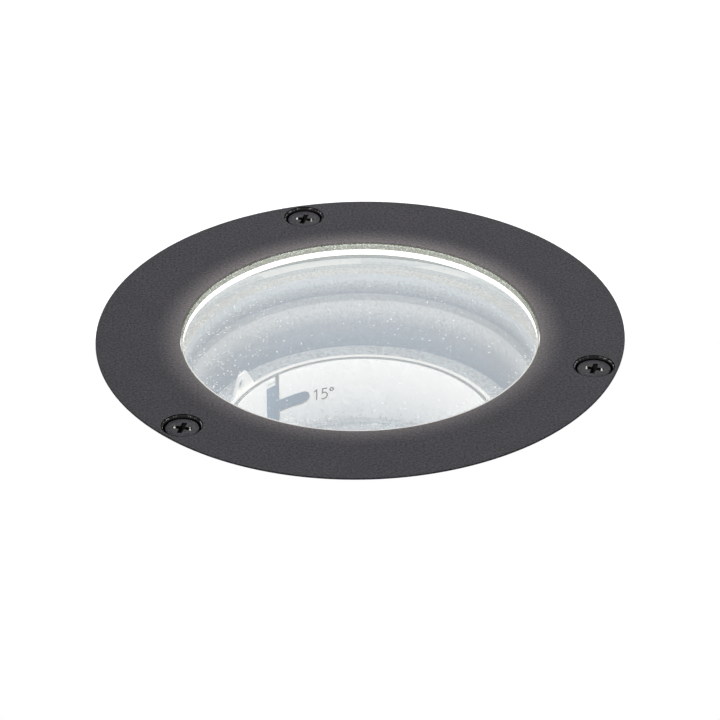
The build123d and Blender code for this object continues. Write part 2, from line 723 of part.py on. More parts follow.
def make_driver_capacitors():
    can = disc(CAPACITOR_R, z_driver, z_driver + CAPACITOR_H)
    can = chamfer(can.edges().sort_by(Axis.Z)[-1], 0.5)
    x, y = CAPACITOR_AT
    return [Pos(x, side * y, 0) * can for side in (-1, 1)]


def make_terminal_block():
    z_low = z_board_foot - TERMINAL_H
    body = block(TERMINAL_L, TERMINAL_W, z_low, z_board_foot, 0, terminal_at)
    y_port = terminal_at - TERMINAL_W / 2
    z_port = z_low + TERMINAL_H / 4
    port = block(PORT_W, TERMINAL_W, z_port, z_port + TERMINAL_H / 2, 0, y_port)
    return cut(body, [Pos(i * PORT_PITCH, 0, 0) * port for i in (-1, 0, 1)])


# ---------------------------------------------------------------- base
def make_base_cap():
    groove_r = driver_bay_r - 2 * FIT - 2 * BASE_SEAL_R
    cap = turned(
        (0, z_cap_foot),
        (0, z_cap),
        (spigot_in, z_cap),
        (spigot_in, z_cap + SPIGOT_H),
        (spigot_r, z_cap + SPIGOT_H),
        (spigot_r, z_cap_groove + BASE_SEAL_R),
        (groove_r, z_cap_groove + BASE_SEAL_R),
        (groove_r, z_cap_groove - BASE_SEAL_R),
        (spigot_r, z_cap_groove - BASE_SEAL_R),
        (spigot_r, z_cap),
        (cap_r, z_cap),
        (cap_r, z_cap_foot),
        (foot_r, z_cap_foot),
        (foot_r - FOOT_DRAFT, z_base),
        (foot_in + FOOT_DRAFT, z_base),
        (foot_in, z_cap_foot),
    )
    notch = block(foot_r, FOOT_NOTCH_W, z_base - OVER, z_base + FOOT_NOTCH_H, foot_in)
    cap = cut(cap, polar(notch, 0, foot_notch_angles))
    hole = disc(CAP_SCREW_R + SCREW_PLAY, z_cap_foot - OVER, z_cap + OVER)
    cap = cut(cap, polar(hole, cap_screw_at, cap_screw_angles))
    cap = cap - disc(GLAND_THREAD_R + FIT, z_cap_foot - OVER, z_cap + OVER)
    return cap - Pos(vent_at, 0, 0) * disc(VENT_R + FIT, z_cap_foot - OVER, z_cap + OVER)


def make_base_seal():
    return torus(driver_bay_r - FIT - BASE_SEAL_R, BASE_SEAL_R, z_cap_groove)


def make_cap_screws():
    screw = pan_screw(CAP_SCREW_HEAD_R, CAP_SCREW_HEAD_H, CAP_SCREW_R, 0, CAP_T + CAP_SCREW_BITE)
    screw = Pos(0, 0, z_cap_foot) * Rot(180, 0, 0) * screw
    return polar(screw, cap_screw_at, cap_screw_angles)


def make_gland_body():
    body = hexagon(GLAND_HEX, z_hex, z_cap_foot)
    body = body + disc(GLAND_THREAD_R, z_cap_foot, z_thread)
    body = body + disc(gland_neck_r, z_neck_foot, z_hex)
    body = body - disc(CABLE_R + GLAND_BORE_GAP, z_neck_foot - OVER, z_thread + OVER)
    return body - disc(gland_seal_r + FIT, z_neck_foot - OVER, z_hex + GLAND_SEAL_DEPTH)


def make_gland_locknut():
    nut = hexagon(GLAND_HEX, z_cap, z_cap + LOCKNUT_H)
    return nut - disc(GLAND_THREAD_R + FIT, z_cap - OVER, z_cap + LOCKNUT_H + OVER)


def make_gland_seal():
    return tube(gland_seal_r, CABLE_R, z_nut_foot + GLAND_END_T, z_hex + GLAND_SEAL_DEPTH)


def make_gland_nut():
    nut = hexagon(GLAND_NUT_HEX, z_nut_foot, z_nut)
    nut = nut & cone(GLAND_NUT_HEX / 2 - GLAND_SHOULDER, GLAND_NUT_HEX, z_nut_foot, z_nut)
    nut = nut - disc(gland_neck_r + FIT, z_nut_foot + GLAND_END_T, z_hex)
    return nut - disc(CABLE_R + GLAND_MOUTH_GAP, z_nut_foot - OVER, z_hex)


def make_vent_plug():
    plug = disc(VENT_HEAD_R, z_cap_foot - VENT_HEAD_H, z_cap_foot)
    plug = plug + disc(VENT_R, z_cap_foot, z_cap + VENT_TIP)
    z_low = z_cap_foot - VENT_HEAD_H
    slot = block(2 * (VENT_HEAD_R + OVER), VENT_SLOT_W, z_low - OVER, z_low + VENT_SLOT_W)
    return Pos(vent_at, 0, 0) * (plug - slot)


# ---------------------------------------------------------------- nodes
NODES = {
    "trim_ring": make_trim_ring,
    "trim_screws": make_trim_screws,
    "thread_inserts": make_thread_inserts,
    "glass_lens": make_glass_lens,
    "glass_gasket": make_glass_gasket,
    "seat_seal": make_seat_seal,
    "housing": make_housing,
    "heat_sink": make_heat_sink,
    "module_plate": make_module_plate,
    "rim_bezel": make_rim_bezel,
    "module_yoke": make_module_yoke,
    "index_sleeve": make_index_sleeve,
    "sleeve_screws": make_sleeve_screws,
    "lens_cell": make_lens_cell,
    "optic_lens": make_optic_lens,
    "lens_clip": make_lens_clip,
    "cell_friction_ring": make_cell_friction_ring,
    "lock_collar": make_lock_collar,
    "index_pins": make_index_pins,
    "collar_clip": make_collar_clip,
    "heat_spreader": make_heat_spreader,
    "module_screws": make_module_screws,
    "led_board": make_led_board,
    "led_emitter": make_led_emitter,
    "led_holder": make_led_holder,
    "led_holder_screws": make_led_holder_screws,
    "led_leads": make_led_leads,
    "lead_grommet": make_lead_grommet,
    "driver_board": make_driver_board,
    "driver_screws": make_driver_screws,
    "driver_inductor": make_driver_inductor,
    "driver_capacitors": make_driver_capacitors,
    "terminal_block": make_terminal_block,
    "base_cap": make_base_cap,
    "base_seal": make_base_seal,
    "cap_screws": make_cap_screws,
    "gland_body": make_gland_body,
    "gland_seal": make_gland_seal,
    "gland_nut": make_gland_nut,
    "gland_locknut": make_gland_locknut,
    "vent_plug": make_vent_plug,
}


def main():
    os.makedirs("parts", exist_ok=True)
    for name, make in NODES.items():
        shape = make()
        if isinstance(shape, list):
            shape = Compound(children=shape)
        export_step(shape, os.path.join("parts", name + ".step"))


if __name__ == "__main__":
    main()
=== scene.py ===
import math

import bpy
from mathutils import Matrix, Vector


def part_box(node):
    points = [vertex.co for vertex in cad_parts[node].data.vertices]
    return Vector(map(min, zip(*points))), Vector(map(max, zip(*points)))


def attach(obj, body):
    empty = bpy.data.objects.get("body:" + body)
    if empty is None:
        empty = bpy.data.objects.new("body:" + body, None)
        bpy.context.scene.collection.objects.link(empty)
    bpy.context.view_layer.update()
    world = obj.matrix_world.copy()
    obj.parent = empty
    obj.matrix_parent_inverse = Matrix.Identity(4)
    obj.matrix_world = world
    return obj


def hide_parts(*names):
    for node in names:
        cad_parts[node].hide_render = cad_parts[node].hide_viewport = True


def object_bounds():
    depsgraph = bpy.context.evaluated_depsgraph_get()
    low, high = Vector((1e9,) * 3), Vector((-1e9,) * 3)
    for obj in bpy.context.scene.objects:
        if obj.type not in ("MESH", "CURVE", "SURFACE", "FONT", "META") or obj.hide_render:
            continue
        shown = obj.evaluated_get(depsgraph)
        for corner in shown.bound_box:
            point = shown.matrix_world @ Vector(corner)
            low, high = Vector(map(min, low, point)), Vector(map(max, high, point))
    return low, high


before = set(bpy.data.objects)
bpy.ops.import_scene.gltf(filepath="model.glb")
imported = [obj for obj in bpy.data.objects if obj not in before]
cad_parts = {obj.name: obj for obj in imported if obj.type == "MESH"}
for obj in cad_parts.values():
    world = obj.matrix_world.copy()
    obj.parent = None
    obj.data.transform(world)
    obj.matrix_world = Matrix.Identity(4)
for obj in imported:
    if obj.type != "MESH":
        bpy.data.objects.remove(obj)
CAD_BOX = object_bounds()

# ---------------------------------------------------------------- sizes, in metres
MM = 0.001
TURN = 2 * math.pi

Z_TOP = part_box("trim_ring")[1].z
RING_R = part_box("trim_ring")[1].x
Z_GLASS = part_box("glass_lens")[1].z
Z_GLASS_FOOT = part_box("glass_lens")[0].z
GLASS_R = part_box("glass_lens")[1].x
Z_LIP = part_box("glass_gasket")[1].z
Z_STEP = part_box("glass_gasket")[0].z
Z_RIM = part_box("index_sleeve")[1].z
SLEEVE_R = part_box("index_sleeve")[1].x
Z_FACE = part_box("trim_screws")[1].z
Z_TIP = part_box("trim_screws")[0].z
Z_GROUND = CAD_BOX[0].z

OPENING_R = 44.2 * MM
BOSS_R = 43.6 * MM             # raised middle of the glass
SEAL_W = 3.0 * MM
SINK_R = 4.65 * MM             # counterbore of a trim screw
HEAD_H = 2.2 * MM              # head of a trim screw
Z_HEAD = Z_FACE - HEAD_H
BEZEL_GAP = 0.3 * MM
SLEEVE_WALL = 0.8 * MM
BEZEL_IN = SLEEVE_R + BEZEL_GAP
SLEEVE_IN = SLEEVE_R - SLEEVE_WALL
SCREWS = 3
SCREW_CIRCLE_R = 59.1 * MM
FIRST_SCREW = 103.6            # degrees from +X
SCREW_ANGLES = [math.radians(FIRST_SCREW + 360 / SCREWS * i) for i in range(SCREWS)]
SCREW_PLACES = [(SCREW_CIRCLE_R * math.cos(a), SCREW_CIRCLE_R * math.sin(a)) for a in SCREW_ANGLES]

# the picture, square, seen from the front and above
FRAME_PX = 720
VIEW_ELEVATION = 31.5416
VIEW_ROLL = -0.8137
VIEW_DISTANCE = 1.2
VIEW_FOCAL_PX = 4884.1
VIEW_CENTRE_PX = (360.046, 333.442)      # where the middle of the ring's top face lies
SENSOR = 36.0                            # in millimetres, as for the lens
CLIP_START = 0.05


# ---------------------------------------------------------------- shader helpers
class Shader:
    """A new material and a short way to add nodes to it."""

    def __init__(self, name):
        self.material = bpy.data.materials.new(name)
        self.material.use_nodes = True
        self.tree = self.material.node_tree
        self.surface = self.tree.nodes["Principled BSDF"]
        self.output = self.tree.nodes["Material Output"]
        self.coordinates = self.tree.nodes.new("ShaderNodeTexCoord")

    def feed(self, target, value):
        """Links an input to the output of a node, or gives it a plain value. A colour is opaque."""
        if isinstance(value, bpy.types.NodeSocket):
            self.tree.links.new(value, target)
        elif target.type == "RGBA":
            target.default_value = (*value, 1)
        else:
            target.default_value = value

    def add(self, kind, inputs=None, **settings):
        """New node, with what its inputs take, by name or number, and its settings."""
        node = self.tree.nodes.new("ShaderNode" + kind)
        for key, value in settings.items():
            setattr(node, key, value)
        for key, value in (inputs or {}).items():
            self.feed(node.inputs[key], value)
        return node

    def set(self, **values):
        """Inputs of the surface, by name with _ for a space."""
        for key, value in values.items():
            self.feed(self.surface.inputs[key.replace("_", " ")], value)

    def finish(self, closure):
        """Takes another surface than the usual one."""
        self.feed(self.output.inputs["Surface"], closure.outputs[0])
        self.tree.nodes.remove(self.surface)

    def place(self):
        """Position on the object, in metres."""
        return self.coordinates.outputs["Object"]

    def noise(self, size, detail=2.0, rough=0.5, stretch=None):
        """Noise with features about size metres wide."""
        vector = self.place()
        if stretch:
            vector = self.add("Mapping", {"Vector": vector, "Scale": stretch}).outputs[0]
        inputs = {"Vector": vector, "Scale": 1 / size, "Detail": detail, "Roughness": rough}
        return self.add("TexNoise", inputs).outputs["Fac"]

    def specks(self, size, reach, share):
        """Scattered round specks on a level face: one in each cell of size metres, of which a share is kept.
        reach is their radius in cells."""
        node = self.add("TexVoronoi", {"Vector": self.place(), "Scale": 1 / size}, voronoi_dimensions="2D")
        pick = self.add("SeparateColor", {0: node.outputs["Color"]}).outputs
        kept = self.math("GREATER_THAN", share, pick[0])
        radius = self.span(pick[1], 0.0, 1.0, 0.45 * reach, reach, smooth=False)
        inside = self.math("SUBTRACT", radius, node.outputs["Distance"])
        return self.math("MULTIPLY", kept, self.span(inside, 0.0, 0.35 * reach))

    def ramp(self, factor, *stops):
        """Colour ramp of (position, colour) stops."""
        node = self.add("ValToRGB", {"Fac": factor})
        elements = node.color_ramp.elements
        while len(elements) < len(stops):
            elements.new(0.5)
        for element, (position, colour) in zip(elements, stops):
            element.position = position
            element.color = (*colour, 1)
        return node.outputs["Color"]

    def mix(self, factor, low, high):
        """Colour mix, where low and high are sockets or colours."""
        node = self.add("Mix", data_type="RGBA")
        for key, value in {"Factor": factor, "A": low, "B": high}.items():
            self.feed(next(s for s in node.inputs if s.name == key and s.enabled), value)
        return next(s for s in node.outputs if s.enabled)

    def scaled(self, colour, level):
        """Colour times a level."""
        return self.add("VectorMath", {0: colour, "Scale": level}, operation="SCALE").outputs[0]

    def math(self, operation, *values):
        """Result of a sum on sockets or numbers."""
        node = self.add("Math", operation=operation)
        for socket, value in zip(node.inputs, values):
            self.feed(socket, value)
        return node.outputs[0]

    def product(self, *values):
        """All values times each other."""
        total = values[0]
        for value in values[1:]:
            total = self.math("MULTIPLY", total, value)
        return total

    def span(self, value, low, high, to_low=0.0, to_high=1.0, smooth=True):
        """Value mapped from low..high to to_low..to_high, with ends held."""
        node = self.add("MapRange", {
            "Value": value, "From Min": low, "From Max": high, "To Min": to_low, "To Max": to_high,
        }, interpolation_type="SMOOTHSTEP" if smooth else "LINEAR")
        return node.outputs[0]

    def above(self, value, limit, blend=0.1 * MM):
        """1 where the value is over the limit and 0 under it, with blend on both sides of it."""
        return self.span(value, limit - blend, limit + blend, smooth=False)

    def below(self, value, limit, blend=0.1 * MM):
        """1 where the value is under the limit and 0 over it, with blend on both sides of it."""
        return self.span(value, limit - blend, limit + blend, 1.0, 0.0, smooth=False)

    def axes(self):
        """x, y and z on the object, in metres."""
        node = self.add("SeparateXYZ", {"Vector": self.place()})
        return node.outputs["X"], node.outputs["Y"], node.outputs["Z"]

    def radius(self):
        """Distance from the axis of the light."""
        x, y, _ = self.axes()
        return self.math("POWER", self.math("ADD", self.product(x, x), self.product(y, y)), 0.5)

    def distance(self, places):
        """Distance to the nearest of some places (x, y), whatever the height."""
        x, y, _ = self.axes()
        flat = self.add("CombineXYZ", {"X": x, "Y": y}).outputs[0]
        nearest = None
        for place in places:
            node = self.add("VectorMath", {0: flat, 1: (*place, 0)}, operation="DISTANCE")
            value = node.outputs["Value"]
            nearest = self.math("MINIMUM", nearest, value) if nearest else value
        return nearest

    def sparkled(self, colour, amount, size=0.65 * MM):
        """Colour with fine light and dark grain."""
        grain = self.noise(size, detail=2, rough=0.7)
        level = self.span(grain, 0.25, 0.75, 1 - amount, 1 + amount, smooth=False)
        return self.scaled(colour, level)

    def glow(self, colour, strength=1.0):
        """Light given off."""
        self.set(Emission_Color=colour, Emission_Strength=strength)

    def colour(self, value):
        """Colour of the surface, from a socket or plain."""
        self.set(Base_Color=value)

    def bump(self, height, depth):
        """Bump by a height of 0 to 1 that stands for depth metres."""
        node = self.add("Bump", {"Height": height, "Distance": depth, "Strength": 1.0})
        self.set(Normal=node.outputs["Normal"])


def shade_of(colour, factor):
    """Plain colour times a factor."""
    return tuple(channel * factor for channel in colour)


def rough_metal(name, colour, roughness, grain=0.4 * MM, depth=0.01 * MM, contrast=0.08, stretch=None):
    """Bare metal with fine grain."""
    shader = Shader(name)
    grains = shader.noise(grain, detail=3, stretch=stretch)
    shader.colour(shader.mix(grains, shade_of(colour, 1 - contrast), shade_of(colour, 1 + contrast)))
    shader.set(Metallic=1.0, Roughness=shader.span(grains, 0.3, 0.7, roughness - 0.06, roughness + 0.06))
    shader.bump(grains, depth)
    return shader.material


def moulded_plastic(name, colour, roughness=0.45, grain=0.5 * MM, depth=0.012 * MM):
    """Plastic with the fine spark texture of its mould."""
    shader = Shader(name)
    grains = shader.noise(grain, detail=3)
    shader.colour(shader.mix(grains, shade_of(colour, 0.93), shade_of(colour, 1.05)))
    shader.set(Roughness=shader.span(grains, 0.3, 0.7, roughness - 0.05, roughness + 0.07))
    shader.bump(grains, depth)
    return shader.material


def soft_rubber(name, colour, roughness=0.7):
    """Matt rubber or silicone."""
    shader = Shader(name)
    grains = shader.noise(0.8 * MM, detail=4)
    shader.colour(shader.mix(grains, shade_of(colour, 0.85), shade_of(colour, 1.12)))
    shader.set(Roughness=roughness, Specular_IOR_Level=0.3)
    shader.bump(grains, 0.02 * MM)
    return shader.material


# ---------------------------------------------------------------- materials that show
COAT = (0.026, 0.0245, 0.0305)
COAT_GRAIN = 0.6 * MM
COAT_CLOUD = 7 * MM
GLOW = (0.100, 0.090, 0.088)   # painted light from the glass on the ring
GLOW_REACH = 7.0 * MM          # from the opening outwards
# black of painted shade, deep in the counterbores and in the cross recesses of the screws
DEEP_BLACK = (0.002, 0.002, 0.002)
RIM_ROUND = 0.45 * MM          # rounded edge of a counterbore
RECESS_R = 2.35 * MM           # cross recess of a trim screw
SCREW_TURN = math.radians(-15)
SCREW_AREA_R = 6 * MM          # what lies near a trim screw
GLINT_IN = 0.45 * MM            # painted glints, from the end of an arm of the recess
GLINT_BACK = 0.42 * MM          # and towards the back, on the wall of the recess
BAND_FOOT = 0.95 * MM          # grey band of painted light on a counterbore, under the top of the ring
BAND_HEAD = 0.08 * MM
HIGHLIGHT_FOOT = 0.5 * MM           # lower end of its painted highlights
HIGHLIGHT_SIDES = (0.8 * MM, 1.8 * MM)        # to the left and right of the screw, where the painted highlights set in


def coat_grain(shader, colour):
    """Height and colour of the fine texture of the powder coat."""
    fine = shader.noise(COAT_GRAIN, detail=2, rough=0.8)
    light = shader.span(fine, 0.32, 0.68, smooth=False)
    grained = shader.mix(light, shade_of(colour, 0.05), shade_of(colour, 2.0))
    wide = shader.noise(COAT_CLOUD, detail=2)
    return fine, shader.scaled(grained, shader.span(wide, 0.3, 0.7, 0.93, 1.07))


def coated(name):
    """Fine textured graphite powder coat, and the height of its texture."""
    shader = Shader(name)
    fine, colour = coat_grain(shader, COAT)
    shader.colour(colour)
    shader.set(Roughness=0.6, Specular_IOR_Level=0.14)
    shader.bump(fine, 0.03 * MM)
    return shader, fine


def cap_coat():
    """Powder coat of the base cap."""
    shader, _ = coated("cap_coat")
    return shader.material


def ring_coat():
    """Powder coat of the ring, with a painted glow of light from the lit glass round the opening, stronger
    towards the back.
    """
    shader, fine = coated("ring_coat")
    _, y, _ = shader.axes()
    near = shader.span(shader.radius(), OPENING_R, OPENING_R + GLOW_REACH, 1.0, 0.0, smooth=False)
    # painted light: the glow is made stronger towards the back of the ring
    near = shader.product(near, shader.span(y, -OPENING_R, OPENING_R, 0.95, 1.2))
    grain = shader.span(fine, 0.3, 0.7, 0.7, 1.3, smooth=False)
    shader.glow(GLOW, shader.product(shader.math("POWER", near, 1.7), grain))
    return shader.material


def side_of_screw(shader):
    """How far a point near a trim screw lies to the left or right of its axis."""
    x, _, _ = shader.axes()
    total = 0.0
    for place in SCREW_PLACES:
        near = shader.math("LESS_THAN", shader.distance([place]), SCREW_AREA_R)
        side = shader.math("ABSOLUTE", shader.math("SUBTRACT", x, place[0]))
        total = shader.math("ADD", total, shader.product(side, near))
    return total


def sink_black():
    """Counterbores: black as painted shade, with a grey band of painted light on their rounded edge and
    painted highlights at both sides.
    """
    shader = Shader("sink_black")
    _, _, z = shader.axes()
    over_foot = shader.span(z, Z_TOP - BAND_FOOT, Z_TOP - BAND_FOOT + 0.25 * MM)
    under_head = shader.span(z, Z_TOP - BAND_HEAD - 0.08 * MM, Z_TOP - BAND_HEAD, 1.0, 0.0)
    band = shader.product(over_foot, under_head)
    sides = shader.span(side_of_screw(shader), *HIGHLIGHT_SIDES)
    patches = shader.span(shader.noise(0.7 * MM, detail=2, rough=0.7), 0.50, 0.62)
    upper = shader.span(z, Z_TOP - HIGHLIGHT_FOOT, Z_TOP - HIGHLIGHT_FOOT + 0.1 * MM)
    # painted highlights on the grey band, at both sides of the screw
    highlights = shader.product(sides, band, patches, upper)
    # painted shade: a black wall under a painted lit grey band
    colour = shader.mix(band, DEEP_BLACK, (0.050, 0.046, 0.048))
    shader.colour(shader.mix(highlights, colour, (0.45, 0.45, 0.46)))
    shader.set(Roughness=0.8, Specular_IOR_Level=0.0)
    return shader.material


def screw_black():
    """Black trim screw, with the grain of the ring, painted shade in its recess and painted glints on the
    walls of the recess.
    """
    shader = Shader("screw_black")
    fine, colour = coat_grain(shader, shade_of(COAT, 0.9))
    _, _, z = shader.axes()
    places = []
    for x, y in SCREW_PLACES:
        for reach in (GLINT_IN - RECESS_R, RECESS_R - GLINT_IN):
            places.append((x + reach * math.cos(SCREW_TURN), y + reach * math.sin(SCREW_TURN) + GLINT_BACK))
    spot = shader.span(shader.distance(places), 0.32 * MM, 0.18 * MM)
    # painted glints, which also glow
    glints = shader.product(spot, shader.span(shader.noise(0.6 * MM, detail=1), 0.40, 0.52, 0.3, 1.0))
    # painted shade: black in the recess under the face
    on_face = shader.span(z, Z_FACE - 0.12 * MM, Z_FACE - 0.01 * MM)
    shader.colour(shader.mix(glints, shader.mix(on_face, DEEP_BLACK, colour), (0.75, 0.75, 0.68)))
    shader.glow((1.0, 0.98, 0.88), shader.product(glints, 0.5))
    shader.set(Roughness=0.5, Specular_IOR_Level=0.12)
    shader.bump(fine, 0.02 * MM)
    return shader.material


def black_oxide():
    """Black oxide on steel."""
    shader = Shader("black_oxide")
    grains = shader.noise(0.6 * MM, detail=3)
    shader.colour(shader.mix(shader.span(grains, 0.3, 0.7), (0.010, 0.010, 0.011), (0.030, 0.030, 0.033)))
    shader.set(Roughness=0.42, Specular_IOR_Level=0.3)
    shader.bump(grains, 0.01 * MM)
    return shader.material


def plain_dark(name, colour, roughness):
    """Matt dark print."""
    shader = Shader(name)
    grains = shader.noise(0.5 * MM, detail=2)
    shader.colour(shader.mix(grains, shade_of(colour, 0.8), shade_of(colour, 1.2)))
    shader.set(Roughness=roughness, Specular_IOR_Level=0.2)
    return shader.material


# satin grey inside, with painted light and shade by height, lighter near the top of each wall: (height over
# the top of the ring, colour)
WELL_TONES = [
    (-30.0, (0.28, 0.36, 0.445)),
    (-26.6, (0.265, 0.35, 0.44)),
    (-22.4, (0.37, 0.435, 0.50)),
    (-18.4, (0.70, 0.725, 0.75)),
    (-16.55, (0.70, 0.725, 0.75)),
    (-16.45, (0.39, 0.435, 0.47)),
    (-15.1, (0.37, 0.425, 0.475)),
    (-14.7, (0.265, 0.335, 0.41)),
    (-12.3, (0.50, 0.56, 0.60)),
    (-10.7, (0.73, 0.79, 0.835)),
    (-9.35, (0.76, 0.815, 0.855)),
    (-9.2, (0.21, 0.24, 0.245)),
]
# painted light given off inside the housing, by height: (height over the top of the ring, colour)
WELL_GLOWS = [
    (-28.3, (0.060, 0.10, 0.14)),
    (-28.1, (0.0, 0.0, 0.0)),
    (-9.30, (0.0, 0.0, 0.0)),
    (-9.15, (0.04, 0.055, 0.055)),
]
TONE_SPAN = (-31.0, 5.0)       # heights that both lists lie within
WELL_DIM = (18 * MM, 42 * MM)  # to both sides, where the painted shade that dims the wall begins and where it ends
BARREL_COAT_R = 51.6 * MM      # the housing is coated from here outwards
BODY_COAT_R = 42.7 * MM        # and, under its plain barrel, from here outwards
Z_BARREL_FOOT = -12.0 * MM
Z_BAY = -74.5 * MM             # the driver bay is coated too


def tone_ramp(shader, tones, z):
    """Colour by height."""
    low, high = TONE_SPAN
    place = shader.span(z, Z_TOP + low * MM, Z_TOP + high * MM, smooth=False)
    return shader.ramp(place, *[((level - low) / (high - low), colour) for level, colour in tones])


def well_paint():
    """Housing: satin grey inside with painted light and shade by height, painted shade to both sides and a
    painted glow; dark coat outside.
    """
    shader = Shader("well_paint")
    radius = shader.radius()
    x, _, z = shader.axes()
    # painted shade towards both sides
    dim = shader.span(shader.math("ABSOLUTE", x), *WELL_DIM, 1.0, 0.88)
    tone = shader.scaled(tone_ramp(shader, WELL_TONES, z), dim)
    high = shader.span(z, Z_TOP - 15 * MM, Z_TOP - 13 * MM)
    inside = shader.mix(high, shader.sparkled(tone, 0.24), shader.sparkled(tone, 0.30))
    barrel = shader.above(radius, BARREL_COAT_R)
    body = shader.product(shader.below(z, Z_BARREL_FOOT), shader.above(radius, BODY_COAT_R))
    bay = shader.below(z, Z_BAY, 0.5 * MM)
    outer = shader.math("MAXIMUM", barrel, shader.math("MAXIMUM", body, bay))
    _, coat = coat_grain(shader, COAT)
    shader.colour(shader.mix(outer, inside, coat))
    shader.glow(shader.mix(outer, tone_ramp(shader, WELL_GLOWS, z), (0.0, 0.0, 0.0)))
    shader.set(Roughness=0.5)
    shader.bump(shader.noise(0.5 * MM), 0.006 * MM)
    return shader.material


def satin_paint(name, colour):
    """Sparkling satin paint with soft clouds."""
    shader = Shader(name)
    cloud = shader.span(shader.noise(14 * MM, detail=2), 0.3, 0.7)
    tone = shader.mix(cloud, shade_of(colour, 0.95), shade_of(colour, 1.05))
    shader.colour(shader.sparkled(tone, 0.45))
    shader.set(Roughness=0.45)
    shader.bump(shader.noise(0.5 * MM), 0.006 * MM)
    return shader.material


def white_enamel(name, glow):
    """White enamel that is lit by the lamp."""
    shader = Shader(name)
    shader.colour(shader.sparkled((0.85, 0.845, 0.825), 0.03))
    shader.glow((1, 0.99, 0.97), glow)
    shader.set(Roughness=0.35)
    shader.bump(shader.noise(0.9 * MM), 0.006 * MM)
    return shader.material


# grey of the inner edges of the bezel and the sleeve, of the outside of the sleeve and of the line along its
# crease
EDGE_GREY = (0.31, 0.35, 0.375)
EDGE_GREY_W = 0.3 * MM               # grey inner edge of the bezel and of the sleeve


def bezel_white():
    """White bezel with a grey inner edge, and a painted glow that is weaker on that edge."""
    shader = Shader("bezel_white")
    white = shader.above(shader.radius(), BEZEL_IN + EDGE_GREY_W, 0.05 * MM)
    shader.colour(shader.sparkled(shader.mix(white, EDGE_GREY, (0.84, 0.83, 0.80)), 0.12))
    # painted glow
    shader.glow((1, 0.99, 0.95), shader.span(white, 0.0, 1.0, 0.06, 0.22))
    shader.set(Roughness=0.35)
    shader.bump(shader.noise(0.9 * MM), 0.006 * MM)
    return shader.material


TONGUE_ANGLE = math.radians(133.3)
TONGUE_HALF = math.radians(2.7)
CREASE_DROP = 1.3 * MM         # painted shade along a crease across the tongue, under the rim
CREASE_HALF = 0.17 * MM
SHADE_FOOT = 19 * MM           # under the rim, between these the painted shade of the tube gets lighter
SHADE_HEAD = 1 * MM


def sleeve_enamel():
    """White tube, with painted shade that darkens it towards its foot, a painted glow that is stronger near
    its rim and a line of painted shade along a crease on its tongue; a grey edge at its rim, and plain grey
    outside.
    """
    shader = Shader("sleeve_enamel")
    x, y, z = shader.axes()
    on_tongue = shader.math("COMPARE", shader.math("ARCTAN2", y, x), TONGUE_ANGLE, TONGUE_HALF)
    crease = shader.product(on_tongue, shader.math("COMPARE", z, Z_RIM - CREASE_DROP, CREASE_HALF))
    inside = shader.below(shader.radius(), SLEEVE_IN + EDGE_GREY_W, 0.03 * MM)
    # painted shade: a grey line along the crease
    inside = shader.math("SUBTRACT", inside, shader.product(crease, 0.8))
    high = shader.span(z, Z_RIM - SHADE_FOOT, Z_RIM - SHADE_HEAD, smooth=False)
    speckle = shader.math("SUBTRACT", shader.noise(0.65 * MM, detail=2, rough=0.7), 0.5)
    level = shader.math("ADD", 1.0, shader.product(speckle, shader.span(high, 0.2, 0.8, 1.5, 0.7)))
    # painted shade: the white darkens towards the foot of the tube
    white = shader.ramp(high, (0.0, (0.58, 0.62, 0.66)), (0.30, (0.72, 0.74, 0.755)),
                        (0.55, (0.82, 0.815, 0.805)), (1.0, (0.88, 0.875, 0.85)))
    shader.colour(shader.mix(inside, EDGE_GREY, shader.scaled(white, level)))
    # painted glow, stronger near the rim
    light = shader.product(inside, shader.span(high, 0.0, 1.0, 0.11, 0.23, smooth=False))
    shader.glow((1, 0.98, 0.95), shader.product(shader.math("MAXIMUM", light, 0.02), level))
    shader.set(Roughness=0.4)
    return shader.material


GLASS_IOR = 1.45
DUST_BASE = 0.045              # share of the cells of dust that are kept all over the glass
DUST_MORE = 0.65               # and what comes to it in the patches at the left and near the edge
DUST_LEFT = (-14 * MM, -36 * MM)         # along x, where the patches begin and where they are full
DUST_EDGE = (38 * MM, 43 * MM)           # the same by radius


def clear_glass():
    """Tempered glass: clear, with gloss on its faces, and water spots and dust on the top."""
    shader = Shader("clear_glass")
    clear = shader.add("BsdfTransparent", {"Color": (0.985, 0.99, 0.99)})
    gloss = shader.add("BsdfAnisotropic", {"Color": (1, 1, 1), "Roughness": 0.03})
    fresnel = shader.add("Fresnel", {"IOR": GLASS_IOR})
    outward = shader.math("SUBTRACT", 1.0, shader.add("NewGeometry").outputs["Backfacing"])
    share = shader.product(fresnel.outputs[0], outward)
    faces = shader.add("MixShader", {0: share, 1: clear.outputs[0], 2: gloss.outputs[0]})
    x, _, z = shader.axes()
    patch = shader.span(shader.noise(9 * MM, detail=3), 0.40, 0.62, 0.25, 1.0)
    at_left = shader.span(x, *DUST_LEFT)
    at_edge = shader.span(shader.radius(), *DUST_EDGE, 0.0, 0.7)
    more = shader.product(patch, shader.math("MAXIMUM", at_left, at_edge), DUST_MORE)
    most = shader.math("ADD", DUST_BASE, more)
    dust = shader.math("MAXIMUM", shader.specks(0.85 * MM, 0.30, most), shader.specks(2.1 * MM, 0.14, most))
    dust = shader.product(dust, shader.math("GREATER_THAN", z, Z_GLASS - 0.05 * MM))
    speck = shader.add("Emission", {"Color": (0.95, 0.97, 0.98), "Strength": 0.95})
    shader.finish(shader.add("MixShader", {0: dust, 1: faces.outputs[0], 2: speck.outputs[0]}))
    return shader.material


